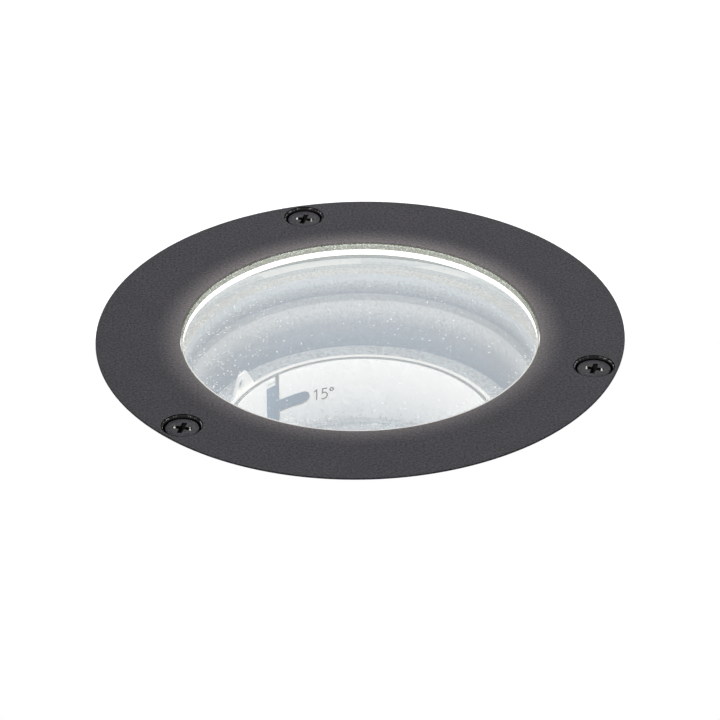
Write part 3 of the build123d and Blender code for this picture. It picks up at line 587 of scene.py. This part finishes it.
def ground_edge(name, lit_front):
    """Ground side of the glass, greenish and full of sparkle, shown as a painted glow with a painted bright
    band across its height. The band over it is painted as lit along its front.
    """
    shader = Shader(name)
    sparkle = shader.noise(0.55 * MM, detail=2, rough=0.8)
    _, _, z = shader.axes()
    tone = shader.ramp(sparkle, (0.32, (0.025, 0.04, 0.02)), (0.46, (0.13, 0.165, 0.11)),
                       (0.55, (0.25, 0.29, 0.21)), (0.68, (0.62, 0.67, 0.53)))
    # painted light: a bright band across the height of the ground side
    across = shader.ramp(shader.span(z, Z_LIP, Z_GLASS, smooth=False), (0.0, (0.50, 0.48, 0.36)),
                         (0.45, (0.52, 0.52, 0.40)), (0.75, (1.05, 1.05, 1.0)), (0.88, (1.0, 1.0, 1.0)),
                         (1.0, (0.7, 0.7, 0.7)))
    tone = shader.add("VectorMath", {0: tone, 1: across}, operation="MULTIPLY").outputs[0]
    if lit_front:
        _, y, _ = shader.axes()
        # painted light along the front
        tone = shader.mix(shader.span(y, -10 * MM, 10 * MM), (0.72, 0.72, 0.70), tone)
    shader.colour(shader.scaled(tone, 0.03))
    shader.glow(tone)
    shader.set(Roughness=0.5, Specular_IOR_Level=0.0)
    return shader.material


def lit_silicone():
    """White translucent gasket, lit through by the lamp, with a thin warm line at its foot."""
    shader = Shader("lit_silicone")
    _, _, z = shader.axes()
    grains = shader.noise(1.5 * MM, detail=2)
    shader.colour(shader.mix(grains, (0.9, 0.9, 0.86), (0.95, 0.95, 0.93)))
    foot = shader.span(z, Z_STEP + 0.02 * MM, Z_STEP + 0.14 * MM, 1.0, 0.0)
    shader.glow(shader.mix(foot, (1.05, 1.04, 1.0), (0.62, 0.50, 0.36)))
    shader.set(Roughness=0.5)
    return shader.material


def seal_silicone():
    """Grey seal under the rim of the glass, with light from the glass in it."""
    shader = Shader("seal_silicone")
    radius = shader.radius()
    outward = shader.span(radius, GLASS_R - SEAL_W + 0.05 * MM, GLASS_R - SEAL_W + 0.4 * MM)
    tone = shader.sparkled(shader.mix(outward, (0.41, 0.445, 0.465), (0.63, 0.685, 0.715)), 0.16)
    shader.colour(tone)
    shader.glow(tone, 0.27)
    shader.set(Roughness=0.6, Specular_IOR_Level=0.3)
    return shader.material


LENS_GLINT = (3.7 * MM, 30.4 * MM)        # where a painted reflection lies on the lens, as a small white spot


def frosted_lens(name, mark=False):
    """Lens deep in the sleeve, blue grey with dust on it, a faint painted glow and, with mark, a painted
    reflection as a small white spot.
    """
    shader = Shader(name)
    patch = shader.noise(9 * MM, detail=4)
    film = shader.mix(shader.span(patch, 0.3, 0.7), (0.46, 0.51, 0.55), (0.51, 0.56, 0.60))
    film = shader.sparkled(film, 0.30)
    film = shader.mix(shader.specks(1.6 * MM, 0.16, 0.3), film, (0.80, 0.84, 0.87))
    if mark:
        # painted reflection of the lamp
        spot = shader.span(shader.distance([LENS_GLINT]), 0.65 * MM, 0.45 * MM)
        film = shader.mix(spot, film, (1.0, 1.0, 1.0))
    shader.colour(film)
    # faint painted glow
    shader.glow(film, 0.06)
    shader.set(Roughness=0.4)
    return shader.material


def warm_emitter():
    """Phosphor of the lamp."""
    shader = Shader("warm_emitter")
    grains = shader.noise(0.6 * MM, detail=2)
    colour = shader.mix(grains, (0.95, 0.72, 0.25), (1.0, 0.80, 0.35))
    shader.colour(colour)
    shader.glow(colour, 1.5)
    shader.set(Roughness=0.6)
    return shader.material


TRACK_PITCH = 9 * MM


def board(name, colour):
    """Solder mask over copper tracks."""
    shader = Shader(name)
    tracks = shader.add("TexBrick", {
        "Vector": shader.place(), "Scale": 1 / TRACK_PITCH,
        "Mortar Size": 0.06, "Brick Width": 0.7, "Row Height": 0.32,
    })
    lines = tracks.outputs["Fac"]
    shader.colour(shader.mix(lines, colour, shade_of(colour, 1.45)))
    shader.set(Roughness=0.35)
    shader.bump(lines, 0.03 * MM)
    return shader.material


MATERIALS = {
    "ring_coat": ring_coat(),
    "sink_black": sink_black(),
    "cap_coat": cap_coat(),
    "black_oxide": black_oxide(),
    "screw_black": screw_black(),
    "brass": rough_metal("brass", (0.72, 0.52, 0.22), 0.28),
    "clear_glass": clear_glass(),
    "ground_edge": ground_edge("ground_edge", False),
    "lit_band": ground_edge("lit_band", True),
    "lit_silicone": lit_silicone(),
    "seal_silicone": seal_silicone(),
    "black_rubber": soft_rubber("black_rubber", (0.02, 0.02, 0.02)),
    "well_paint": well_paint(),
    "dark_anodised": rough_metal("dark_anodised", (0.045, 0.045, 0.05), 0.42, stretch=(1, 1, 0.1)),
    "satin_plate": satin_paint("satin_plate", (0.60, 0.655, 0.69)),
    "white_enamel": white_enamel("white_enamel", 0.16),
    "bezel_white": bezel_white(),
    "sleeve_enamel": sleeve_enamel(),
    "white_plastic": moulded_plastic("white_plastic", (0.86, 0.87, 0.87)),
    "grey_plastic": moulded_plastic("grey_plastic", (0.36, 0.40, 0.44)),
    "mark_grey": plain_dark("mark_grey", (0.045, 0.048, 0.05), 0.6),
    "black_plastic": moulded_plastic("black_plastic", (0.018, 0.018, 0.02)),
    "frosted_lens": frosted_lens("frosted_lens", mark=True),
    "lens_edge": frosted_lens("lens_edge"),
    "spring_steel": rough_metal("spring_steel", (0.55, 0.56, 0.57), 0.25),
    "plain_aluminium": rough_metal("plain_aluminium", (0.78, 0.79, 0.80), 0.32),
    "board_white": board("board_white", (0.80, 0.80, 0.78)),
    "board_green": board("board_green", (0.02, 0.16, 0.07)),
    "warm_emitter": warm_emitter(),
    "ferrite": moulded_plastic("ferrite", (0.05, 0.05, 0.055), 0.6),
    "capacitor_sleeve": moulded_plastic("capacitor_sleeve", (0.02, 0.03, 0.08), 0.25),
    "terminal_plastic": moulded_plastic("terminal_plastic", (0.06, 0.28, 0.12), 0.4),
    "red_silicone": soft_rubber("red_silicone", (0.5, 0.04, 0.03), 0.5),
}

NODE_MATERIALS = {
    "ring_coat": ["trim_ring"],
    "cap_coat": ["base_cap"],
    "black_oxide": ["trim_screws", "cap_screws"],
    "brass": ["thread_inserts", "index_pins"],
    "clear_glass": ["glass_lens"],
    "lit_silicone": ["glass_gasket"],
    "seal_silicone": ["seat_seal"],
    "black_rubber": ["cell_friction_ring", "lead_grommet", "base_seal", "gland_seal"],
    "well_paint": ["housing"],
    "dark_anodised": ["heat_sink"],
    "satin_plate": ["module_plate"],
    "white_enamel": ["module_yoke"],
    "bezel_white": ["rim_bezel"],
    "sleeve_enamel": ["index_sleeve"],
    "white_plastic": ["led_holder"],
    "grey_plastic": ["lock_collar"],
    "lens_edge": ["lens_cell", "lens_clip"],
    "black_plastic": ["gland_body", "gland_nut", "gland_locknut", "vent_plug"],
    "frosted_lens": ["optic_lens"],
    "spring_steel": [
        "sleeve_screws", "collar_clip", "module_screws", "led_holder_screws", "driver_screws",
    ],
    "plain_aluminium": ["heat_spreader"],
    "board_white": ["led_board"],
    "board_green": ["driver_board"],
    "warm_emitter": ["led_emitter"],
    "ferrite": ["driver_inductor"],
    "capacitor_sleeve": ["driver_capacitors"],
    "terminal_plastic": ["terminal_block"],
    "red_silicone": ["led_leads"],
}

for material_name, node_names in NODE_MATERIALS.items():
    for node_name in node_names:
        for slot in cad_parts[node_name].material_slots:
            slot.material = MATERIALS[material_name]


# ---------------------------------------------------------------- mesh helpers
SMOOTH_UP_TO = 35              # degrees, edges that are sharper stay sharp


def new_mesh(name, points, faces, materials=(), slots=None, smooth=None):
    """New piece. slots gives the material of each face, smooth the angle from which an edge stays sharp."""
    mesh = bpy.data.meshes.new(name)
    mesh.from_pydata(points, [], faces)
    mesh.validate()
    for material in materials:
        mesh.materials.append(MATERIALS[material] if isinstance(material, str) else material)
    if slots:
        mesh.polygons.foreach_set("material_index", slots)
    if smooth:
        mesh.shade_smooth()
        mesh.set_sharp_from_angle(angle=math.radians(smooth))
    piece = bpy.data.objects.new(name, mesh)
    bpy.context.scene.collection.objects.link(piece)
    return piece


def turned(name, profile, materials, segments, slot_of=None, place=(0, 0), turn=0.0):
    """Surface round an upright axis, through an outline of (radius, z). A radius may be a function of the
    angle. The outline starts and ends on the axis, or is closed. slot_of gives the material slot of a face
    from its number along the outline."""
    points, rings, faces, slots = [], [], [], []
    for radius, z in profile:
        ring = []
        for i in range(segments):
            angle = TURN * i / segments
            r = radius(angle) if callable(radius) else radius
            if r or not ring:
                ring.append(len(points))
                x, y = r * math.cos(angle + turn), r * math.sin(angle + turn)
                points.append((place[0] + x, place[1] + y, z))
            else:
                ring.append(ring[0])
        rings.append(ring)
    pairs = list(zip(rings, rings[1:]))
    if profile[0][0] != 0:
        pairs.append((rings[-1], rings[0]))
    for number, (low, high) in enumerate(pairs):
        for i in range(segments):
            j = (i + 1) % segments
            faces.append(tuple(dict.fromkeys((low[i], low[j], high[j], high[i]))))
            slots.append(slot_of(number) if slot_of else 0)
    return new_mesh(name, points, faces, materials, slots, SMOOTH_UP_TO)


def merged(name, pieces):
    """One piece from several that share their materials."""
    points, faces, slots = [], [], []
    for piece in pieces:
        start = len(points)
        points += [tuple(v.co) for v in piece.data.vertices]
        faces += [tuple(start + i for i in p.vertices) for p in piece.data.polygons]
        slots += [p.material_index for p in piece.data.polygons]
    materials = list(pieces[0].data.materials)
    for piece in pieces:
        mesh = piece.data
        bpy.data.objects.remove(piece)
        bpy.data.meshes.remove(mesh)
    return new_mesh(name, points, faces, materials, slots, SMOOTH_UP_TO)


# ---------------------------------------------------------------- trim ring
GLASS_GAP = 0.35 * MM
SKIRT_T = 1.7 * MM
FLANGE_T = 5.0 * MM
POCKET_R = GLASS_R + GLASS_GAP
SKIRT_R = RING_R - SKIRT_T
Z_FLANGE = Z_TOP - FLANGE_T
RING_ROUND = 0.3 * MM
OPENING_EDGE = 0.25 * MM
HOLE_R = 2.25 * MM
RING_SEGMENTS = 512
SCREW_SEGMENTS = 96            # of a screw and of its counterbore
CUTTER_PAST = 1 * MM           # past both faces of the flange
CUTTER_FLARE = 4.1 * MM        # its top is wider, so that it leaves the round edge along its slope
CUTTER_SLOPE = 108             # degrees on the round edge, where the cutter leaves it


def arc(radius, z, size, start, end, steps):
    """Points on a small round edge, by angles in degrees from outwards to up."""
    angles = [math.radians(start + (end - start) * i / steps) for i in range(steps + 1)]
    return [(radius + size * math.cos(a), z + size * math.sin(a)) for a in angles]


def add_trim_ring():
    """Ring with rounded edges, and counterbores cut into it."""
    outline = [
        (POCKET_R, Z_LIP),
        (POCKET_R, Z_FLANGE),
        (SKIRT_R, Z_FLANGE),
        (SKIRT_R, 0),
        (RING_R, 0),
        *arc(RING_R - RING_ROUND, Z_TOP - RING_ROUND, RING_ROUND, 0, 90, 5),
        *arc(OPENING_R + OPENING_EDGE, Z_TOP - OPENING_EDGE, OPENING_EDGE, 90, 180, 4),
        (OPENING_R, Z_LIP),
    ]
    ring = turned("ring", outline, ["ring_coat", "sink_black"], RING_SEGMENTS)
    sink = [
        (0, Z_FLANGE - CUTTER_PAST),
        (HOLE_R, Z_FLANGE - CUTTER_PAST),
        (HOLE_R, Z_HEAD),
        (SINK_R, Z_HEAD),
        *arc(SINK_R + RIM_ROUND, Z_TOP - RIM_ROUND, RIM_ROUND, 180, CUTTER_SLOPE, 5),
        (SINK_R + CUTTER_FLARE, Z_TOP + CUTTER_PAST),
        (0, Z_TOP + CUTTER_PAST),
    ]
    cutters = [
        turned("sink", sink, ["ring_coat", "sink_black"], SCREW_SEGMENTS, lambda number: 1, place)
        for place in SCREW_PLACES
    ]
    for cutter in cutters:
        cut = ring.modifiers.new("sink", "BOOLEAN")
        cut.object = cutter
        cut.operation = "DIFFERENCE"
        cut.solver = "EXACT"
        cut.material_mode = "INDEX"
    graph = bpy.context.evaluated_depsgraph_get()
    mesh = bpy.data.meshes.new_from_object(ring.evaluated_get(graph))
    ring.modifiers.clear()
    ring.data = mesh
    for cutter in cutters:
        bpy.data.objects.remove(cutter)
    mesh.set_sharp_from_angle(angle=math.radians(SMOOTH_UP_TO))
    ring.modifiers.new("flat_top", "WEIGHTED_NORMAL").keep_sharp = True
    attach(ring, "root")
    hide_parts("trim_ring")


add_trim_ring()


# ---------------------------------------------------------------- glass
GLASS_EDGE = 0.1 * MM
GLASS_CHAMFER = 0.4 * MM
GLASS_FLARE = 0.3 * MM         # height in which the raised middle widens to its top
GLASS_TOP_GAP = 0.2 * MM
GLASS_TOP_R = OPENING_R - GLASS_TOP_GAP
GLASS_BAND = 0.32 * MM         # lit band round the edge of the top
GLASS_SEGMENTS = 256


def add_glass():
    """Glass with a raised middle that fills the opening of the ring."""
    outline = [
        (0, Z_GLASS_FOOT),
        (GLASS_R - GLASS_CHAMFER, Z_GLASS_FOOT),
        (GLASS_R, Z_GLASS_FOOT + GLASS_CHAMFER),
        (GLASS_R, Z_STEP - GLASS_CHAMFER),
        (GLASS_R - GLASS_CHAMFER, Z_STEP),
        (BOSS_R, Z_STEP),
        (BOSS_R, Z_LIP),
        (GLASS_TOP_R, Z_LIP + GLASS_FLARE),
        (GLASS_TOP_R, Z_GLASS - GLASS_EDGE),
        (GLASS_TOP_R - GLASS_EDGE, Z_GLASS),
        (GLASS_TOP_R - GLASS_BAND, Z_GLASS),
        (0, Z_GLASS),
    ]
    slots = {6: 1, 7: 1, 8: 2, 9: 2}      # ground side and lit band, by their number along the outline
    glass = turned("glass", outline, ["clear_glass", "ground_edge", "lit_band"], GLASS_SEGMENTS,
                   lambda number: slots.get(number, 0))
    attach(glass, "root")
    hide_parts("glass_lens")


add_glass()


# ---------------------------------------------------------------- trim screws
HEAD_R = 4.15 * MM
HEAD_FOOT = 0.1 * MM           # chamfer of the head, below
HEAD_ROUND = [(0.0, 0.30), (0.08, 0.10), (0.28, 0.0)]      # its upper edge: (inwards, down), in mm
SHANK_R = 1.95 * MM
SHANK_CHAMFER = 0.4 * MM
RECESS_W = 1.25 * MM
RECESS_H = 1.7 * MM
RECESS_STEPS = [(1.0, 1.0, 0.0), (0.93, 0.9, 0.35), (0.5, 0.55, 0.85)]     # (reach, width, depth), as shares


def cross(reach, width):
    """Radius of a cross outline by angle."""
    def radius(angle):
        spread = []
        for quarter in range(4):
            off = (angle - quarter * math.pi / 2 + math.pi) % TURN - math.pi
            if abs(off) < math.pi / 2:
                side = width / 2 / max(abs(math.sin(off)), 1e-9)
                spread.append(min(reach / math.cos(off), side))
        return max(spread)
    return radius


def add_trim_screws():
    """Three screws with a cross recess."""
    outline = [
        (0, Z_TIP),
        (SHANK_R - SHANK_CHAMFER, Z_TIP),
        (SHANK_R, Z_TIP + SHANK_CHAMFER),
        (SHANK_R, Z_HEAD),
        (HEAD_R - HEAD_FOOT, Z_HEAD),
        (HEAD_R, Z_HEAD + HEAD_FOOT),
        *[(HEAD_R - inwards * MM, Z_FACE - down * MM) for inwards, down in HEAD_ROUND],
        *[(cross(reach * RECESS_R, width * RECESS_W), Z_FACE - depth * RECESS_H)
          for reach, width, depth in RECESS_STEPS],
        (0, Z_FACE - RECESS_H),
    ]
    screws = [
        turned("screw", outline, ["screw_black"], SCREW_SEGMENTS, place=place, turn=SCREW_TURN)
        for place in SCREW_PLACES
    ]
    screw_set = merged("trim_screw_set", screws)
    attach(screw_set, "root")
    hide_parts("trim_screws")


add_trim_screws()


# ---------------------------------------------------------------- marks of the beam angles on the sleeve
STROKE = 0.36 * MM
MARK_RISE = 0.03 * MM
MARK_GAP = 0.005 * MM          # between the back of a mark and the wall
MARK_FOOT = -10.75             # foot of the first mark over the rim, in mm
BRANCH_PITCH = 16.0            # in mm
MARK_START = 64.05             # along the arc of the sleeve, in mm, where the first digit begins
MITRE_LEAST = 0.5              # holds a stroke's width in at a sharp corner


def oval(x, y, half_width, half_height, steps):
    """Closed line of (x, y) in mm round a middle."""
    angles = [TURN * i / steps for i in range(steps + 1)]
    return [(x + half_width * math.cos(a), y + half_height * math.sin(a)) for a in angles]


GLYPHS = {                     # width, then strokes of (x, y) in mm
    "0": (2.1, [oval(0.85, 1.57, 0.72, 1.5, 20)]),
    "1": (1.95, [[(0.10, 2.55), (0.78, 3.05), (0.78, 0.0)]]),
    "3": (2.1, [
        [(0.15, 2.8), (0.55, 3.08), (1.05, 3.08), (1.45, 2.7), (1.4, 2.1), (1.0, 1.72), (0.6, 1.68)],
        [(1.0, 1.72), (1.5, 1.4), (1.62, 0.85), (1.25, 0.2), (0.7, 0.02), (0.1, 0.15)],
    ]),
    "4": (2.2, [[(1.3, 0.0), (1.3, 3.08), (0.1, 1.0), (1.8, 1.0)]]),
    "5": (2.25, [
        [(1.62, 3.02), (0.45, 3.02), (0.36, 1.80), (0.78, 1.95), (1.28, 1.82), (1.60, 1.42), (1.64, 0.85),
         (1.32, 0.28), (0.78, 0.03), (0.12, 0.10)],
    ]),
    "d": (1.2, [oval(0.57, 2.55, 0.43, 0.45, 14)]),
}


def stroke_sides(line):
    """Left and right side of a stroke, mitred at its corners."""
    closed = math.dist(line[0], line[-1]) < 1e-6
    left, right = [], []
    for i, (x, y) in enumerate(line):
        before = line[i - 1] if i else (line[-2] if closed else None)
        after = line[i + 1] if i < len(line) - 1 else (line[1] if closed else None)
        normals = []
        for start, end in ((before, (x, y)), ((x, y), after)):
            if start and end:
                length = math.dist(start, end)
                normals.append(((start[1] - end[1]) / length, (end[0] - start[0]) / length))
        nx = sum(n[0] for n in normals)
        ny = sum(n[1] for n in normals)
        size = math.hypot(nx, ny)
        nx, ny = nx / size, ny / size
        reach = STROKE / MM / 2 / max(nx * normals[0][0] + ny * normals[0][1], MITRE_LEAST)
        left.append((x + nx * reach, y + ny * reach))
        right.append((x - nx * reach, y - ny * reach))
    return left, right, closed


def on_wall(x, y, rise):
    """Point inside the sleeve: x back along its arc and y over its rim, both in mm, and rise off its wall."""
    angle = -x * MM / SLEEVE_IN
    r = SLEEVE_IN - rise
    return r * math.cos(angle), r * math.sin(angle), Z_RIM + y * MM


def add_stroke(points, faces, line):
    """Raised bar along a line of (x, y) on the wall of the sleeve, closed all round."""
    left, right, closed = stroke_sides(line)
    base = len(points)
    for a, b in zip(left, right):
        for side, rise in ((a, MARK_RISE), (b, MARK_RISE), (b, MARK_GAP), (a, MARK_GAP)):
            points.append(on_wall(*side, rise))
    count = len(left) - 1 if closed else len(left)
    for i in range(len(left) - 1):
        now, then = base + 4 * i, base + 4 * ((i + 1) % count)
        for k in range(4):
            m = (k + 1) % 4
            faces.append((now + k, then + k, then + m, now + m))
    if not closed:
        last = base + 4 * (len(left) - 1)
        faces.append((base, base + 1, base + 2, base + 3))
        faces.append((last + 3, last + 2, last + 1, last))


def add_beam_marks():
    """Three marks down the sleeve, one for each branch, and the same on its other side."""
    points, faces = [], []
    for number, word in enumerate(("15d", "30d", "45d")):
        foot = MARK_FOOT - number * BRANCH_PITCH
        for half_turn in (0, math.pi * SLEEVE_IN / MM):
            pen = -MARK_START - half_turn
            for letter in word:
                width, lines = GLYPHS[letter]
                for line in lines:
                    add_stroke(points, faces, [(x + pen, y + foot) for x, y in line])
                pen += width
    marks = new_mesh("beam_marks", points, faces, ["mark_grey"])
    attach(marks, "root")


add_beam_marks()


# ---------------------------------------------------------------- camera
def add_camera():
    """Camera of the main view, as solved from the outline of the ring."""
    elevation = math.radians(VIEW_ELEVATION)
    place = Vector((0, -VIEW_DISTANCE * math.cos(elevation), VIEW_DISTANCE * math.sin(elevation) + Z_TOP))
    data = bpy.data.cameras.new("camera")
    camera = bpy.data.objects.new("camera", data)
    bpy.context.scene.collection.objects.link(camera)
    tilt = Matrix.Rotation(math.pi / 2 - elevation, 4, "X")
    roll = Matrix.Rotation(math.radians(VIEW_ROLL), 4, "Z")
    camera.matrix_world = Matrix.Translation(place) @ tilt @ roll
    data.sensor_width = SENSOR
    data.sensor_fit = "HORIZONTAL"
    data.lens = VIEW_FOCAL_PX * SENSOR / FRAME_PX
    data.shift_x = (FRAME_PX / 2 - VIEW_CENTRE_PX[0]) / FRAME_PX
    data.shift_y = (VIEW_CENTRE_PX[1] - FRAME_PX / 2) / FRAME_PX
    data.clip_start = CLIP_START
    bpy.context.scene.camera = camera
    return camera


camera = add_camera()


# ---------------------------------------------------------------- stage
def white_to_camera(name, albedo, glow):
    """Diffuse surface that also glows for the camera and for reflections, so that it shows white."""
    shader = Shader(name)
    path = shader.add("LightPath")
    seen = shader.math("MAXIMUM", path.outputs["Is Camera Ray"], path.outputs["Is Glossy Ray"])
    seen = shader.math("MAXIMUM", seen, path.outputs["Is Transmission Ray"])
    emission = shader.add("Emission", {"Strength": shader.product(seen, glow)})
    diffuse = shader.add("BsdfDiffuse", {"Color": (albedo, albedo, albedo)})
    shader.finish(shader.add("AddShader", {0: emission.outputs[0], 1: diffuse.outputs[0]}))
    return shader.material


FLOOR_HALF = 3.0
FLOOR_DROP = 0.05 * MM         # under the foot of the light
FLOOR_ALBEDO = 0.75
FLOOR_GLOW = 0.5


def add_floor():
    """White floor under the light."""
    z = Z_GROUND - FLOOR_DROP
    corners = [(-1, -1), (1, -1), (1, 1), (-1, 1)]
    points = [(x * FLOOR_HALF, y * FLOOR_HALF, z) for x, y in corners]
    white = white_to_camera("floor_white", FLOOR_ALBEDO, FLOOR_GLOW)
    floor = new_mesh("floor", points, [(0, 1, 2, 3)], [white])


GROUND_CARD_AT = 0.15          # from the camera
GROUND_CARD_STEPS = 96
GROUND_CARD_PAST = 0.025       # past the ring, to both sides and below
GROUND_LEVEL = Z_TOP - 0.35 * MM


def add_ground_card():
    """White card close to the camera. It stands for the ground that hides the sunk body in the photograph."""
    eye = camera.matrix_world.translation
    view = camera.matrix_world.to_3x3() @ Vector((0, 0, -1))
    down = camera.matrix_world.to_3x3() @ Vector((0, -1, 0))
    side = camera.matrix_world.to_3x3() @ Vector((1, 0, 0))
    reach = math.acos(RING_R / math.hypot(eye.x, eye.y))
    edge = []
    for i in range(GROUND_CARD_STEPS + 1):
        angle = -math.pi / 2 + reach * (2 * i / GROUND_CARD_STEPS - 1)
        point = Vector((RING_R * math.cos(angle), RING_R * math.sin(angle), GROUND_LEVEL))
        ray = point - eye
        edge.append(eye + ray * (GROUND_CARD_AT / ray.dot(view)))
    edge = [edge[0] - side * GROUND_CARD_PAST] + edge + [edge[-1] + side * GROUND_CARD_PAST]
    low = max((p - eye).dot(down) for p in edge) + GROUND_CARD_PAST
    foot = [p + down * (low - (p - eye).dot(down)) for p in edge]
    count = len(edge)
    faces = [(i, i + 1, count + i + 1, count + i) for i in range(count - 1)]
    shader = Shader("card_white")
    shader.finish(shader.add("Emission", {"Strength": 1.0}))
    card = new_mesh("ground_card", edge + foot, faces, [shader.material])
    card.visible_diffuse = False
    card.visible_glossy = False
    card.visible_transmission = False
    card.visible_volume_scatter = False
    card.visible_shadow = False


add_floor()
add_ground_card()


# ---------------------------------------------------------------- light
WORLD_LIGHT = 0.54
SOFTBOXES = [                  # place, size, watts
    ((-0.55, -0.75, 0.95), 0.7, 1.6),
    ((0.75, -0.45, 0.85), 0.6, 0.7),
    ((0.05, 0.36, 0.40), 0.4, 1.6),
]


def add_world():
    """White as the camera sees it, straight, through glass or mirrored, and dimmer as a light."""
    world = bpy.data.worlds.new("studio")
    world.use_nodes = True
    bpy.context.scene.world = world
    tree = world.node_tree
    background = tree.nodes["Background"]
    background.inputs["Color"].default_value = (1, 1, 1, 1)
    path = tree.nodes.new("ShaderNodeLightPath")
    seen = path.outputs["Is Camera Ray"]
    for ray in ("Is Transmission Ray", "Is Glossy Ray"):
        either = tree.nodes.new("ShaderNodeMath")
        either.operation = "MAXIMUM"
        tree.links.new(seen, either.inputs[0])
        tree.links.new(path.outputs[ray], either.inputs[1])
        seen = either.outputs[0]
    strength = tree.nodes.new("ShaderNodeMapRange")
    tree.links.new(seen, strength.inputs["Value"])
    strength.inputs["To Min"].default_value = WORLD_LIGHT
    strength.inputs["To Max"].default_value = 1.0
    tree.links.new(strength.outputs[0], background.inputs["Strength"])


def add_softbox(number, place, size, watts):
    """Square light that faces the middle of the scene."""
    data = bpy.data.lights.new(f"softbox_{number}", "AREA")
    data.shape = "SQUARE"
    data.size = size
    data.energy = watts
    light = bpy.data.objects.new(data.name, data)
    light.location = place
    light.rotation_euler = (-Vector(place)).to_track_quat("-Z", "Y").to_euler()
    bpy.context.scene.collection.objects.link(light)


add_world()
for number, (place, size, watts) in enumerate(SOFTBOXES):
    add_softbox(number, place, size, watts)

bpy.context.scene.view_settings.view_transform = "Standard"
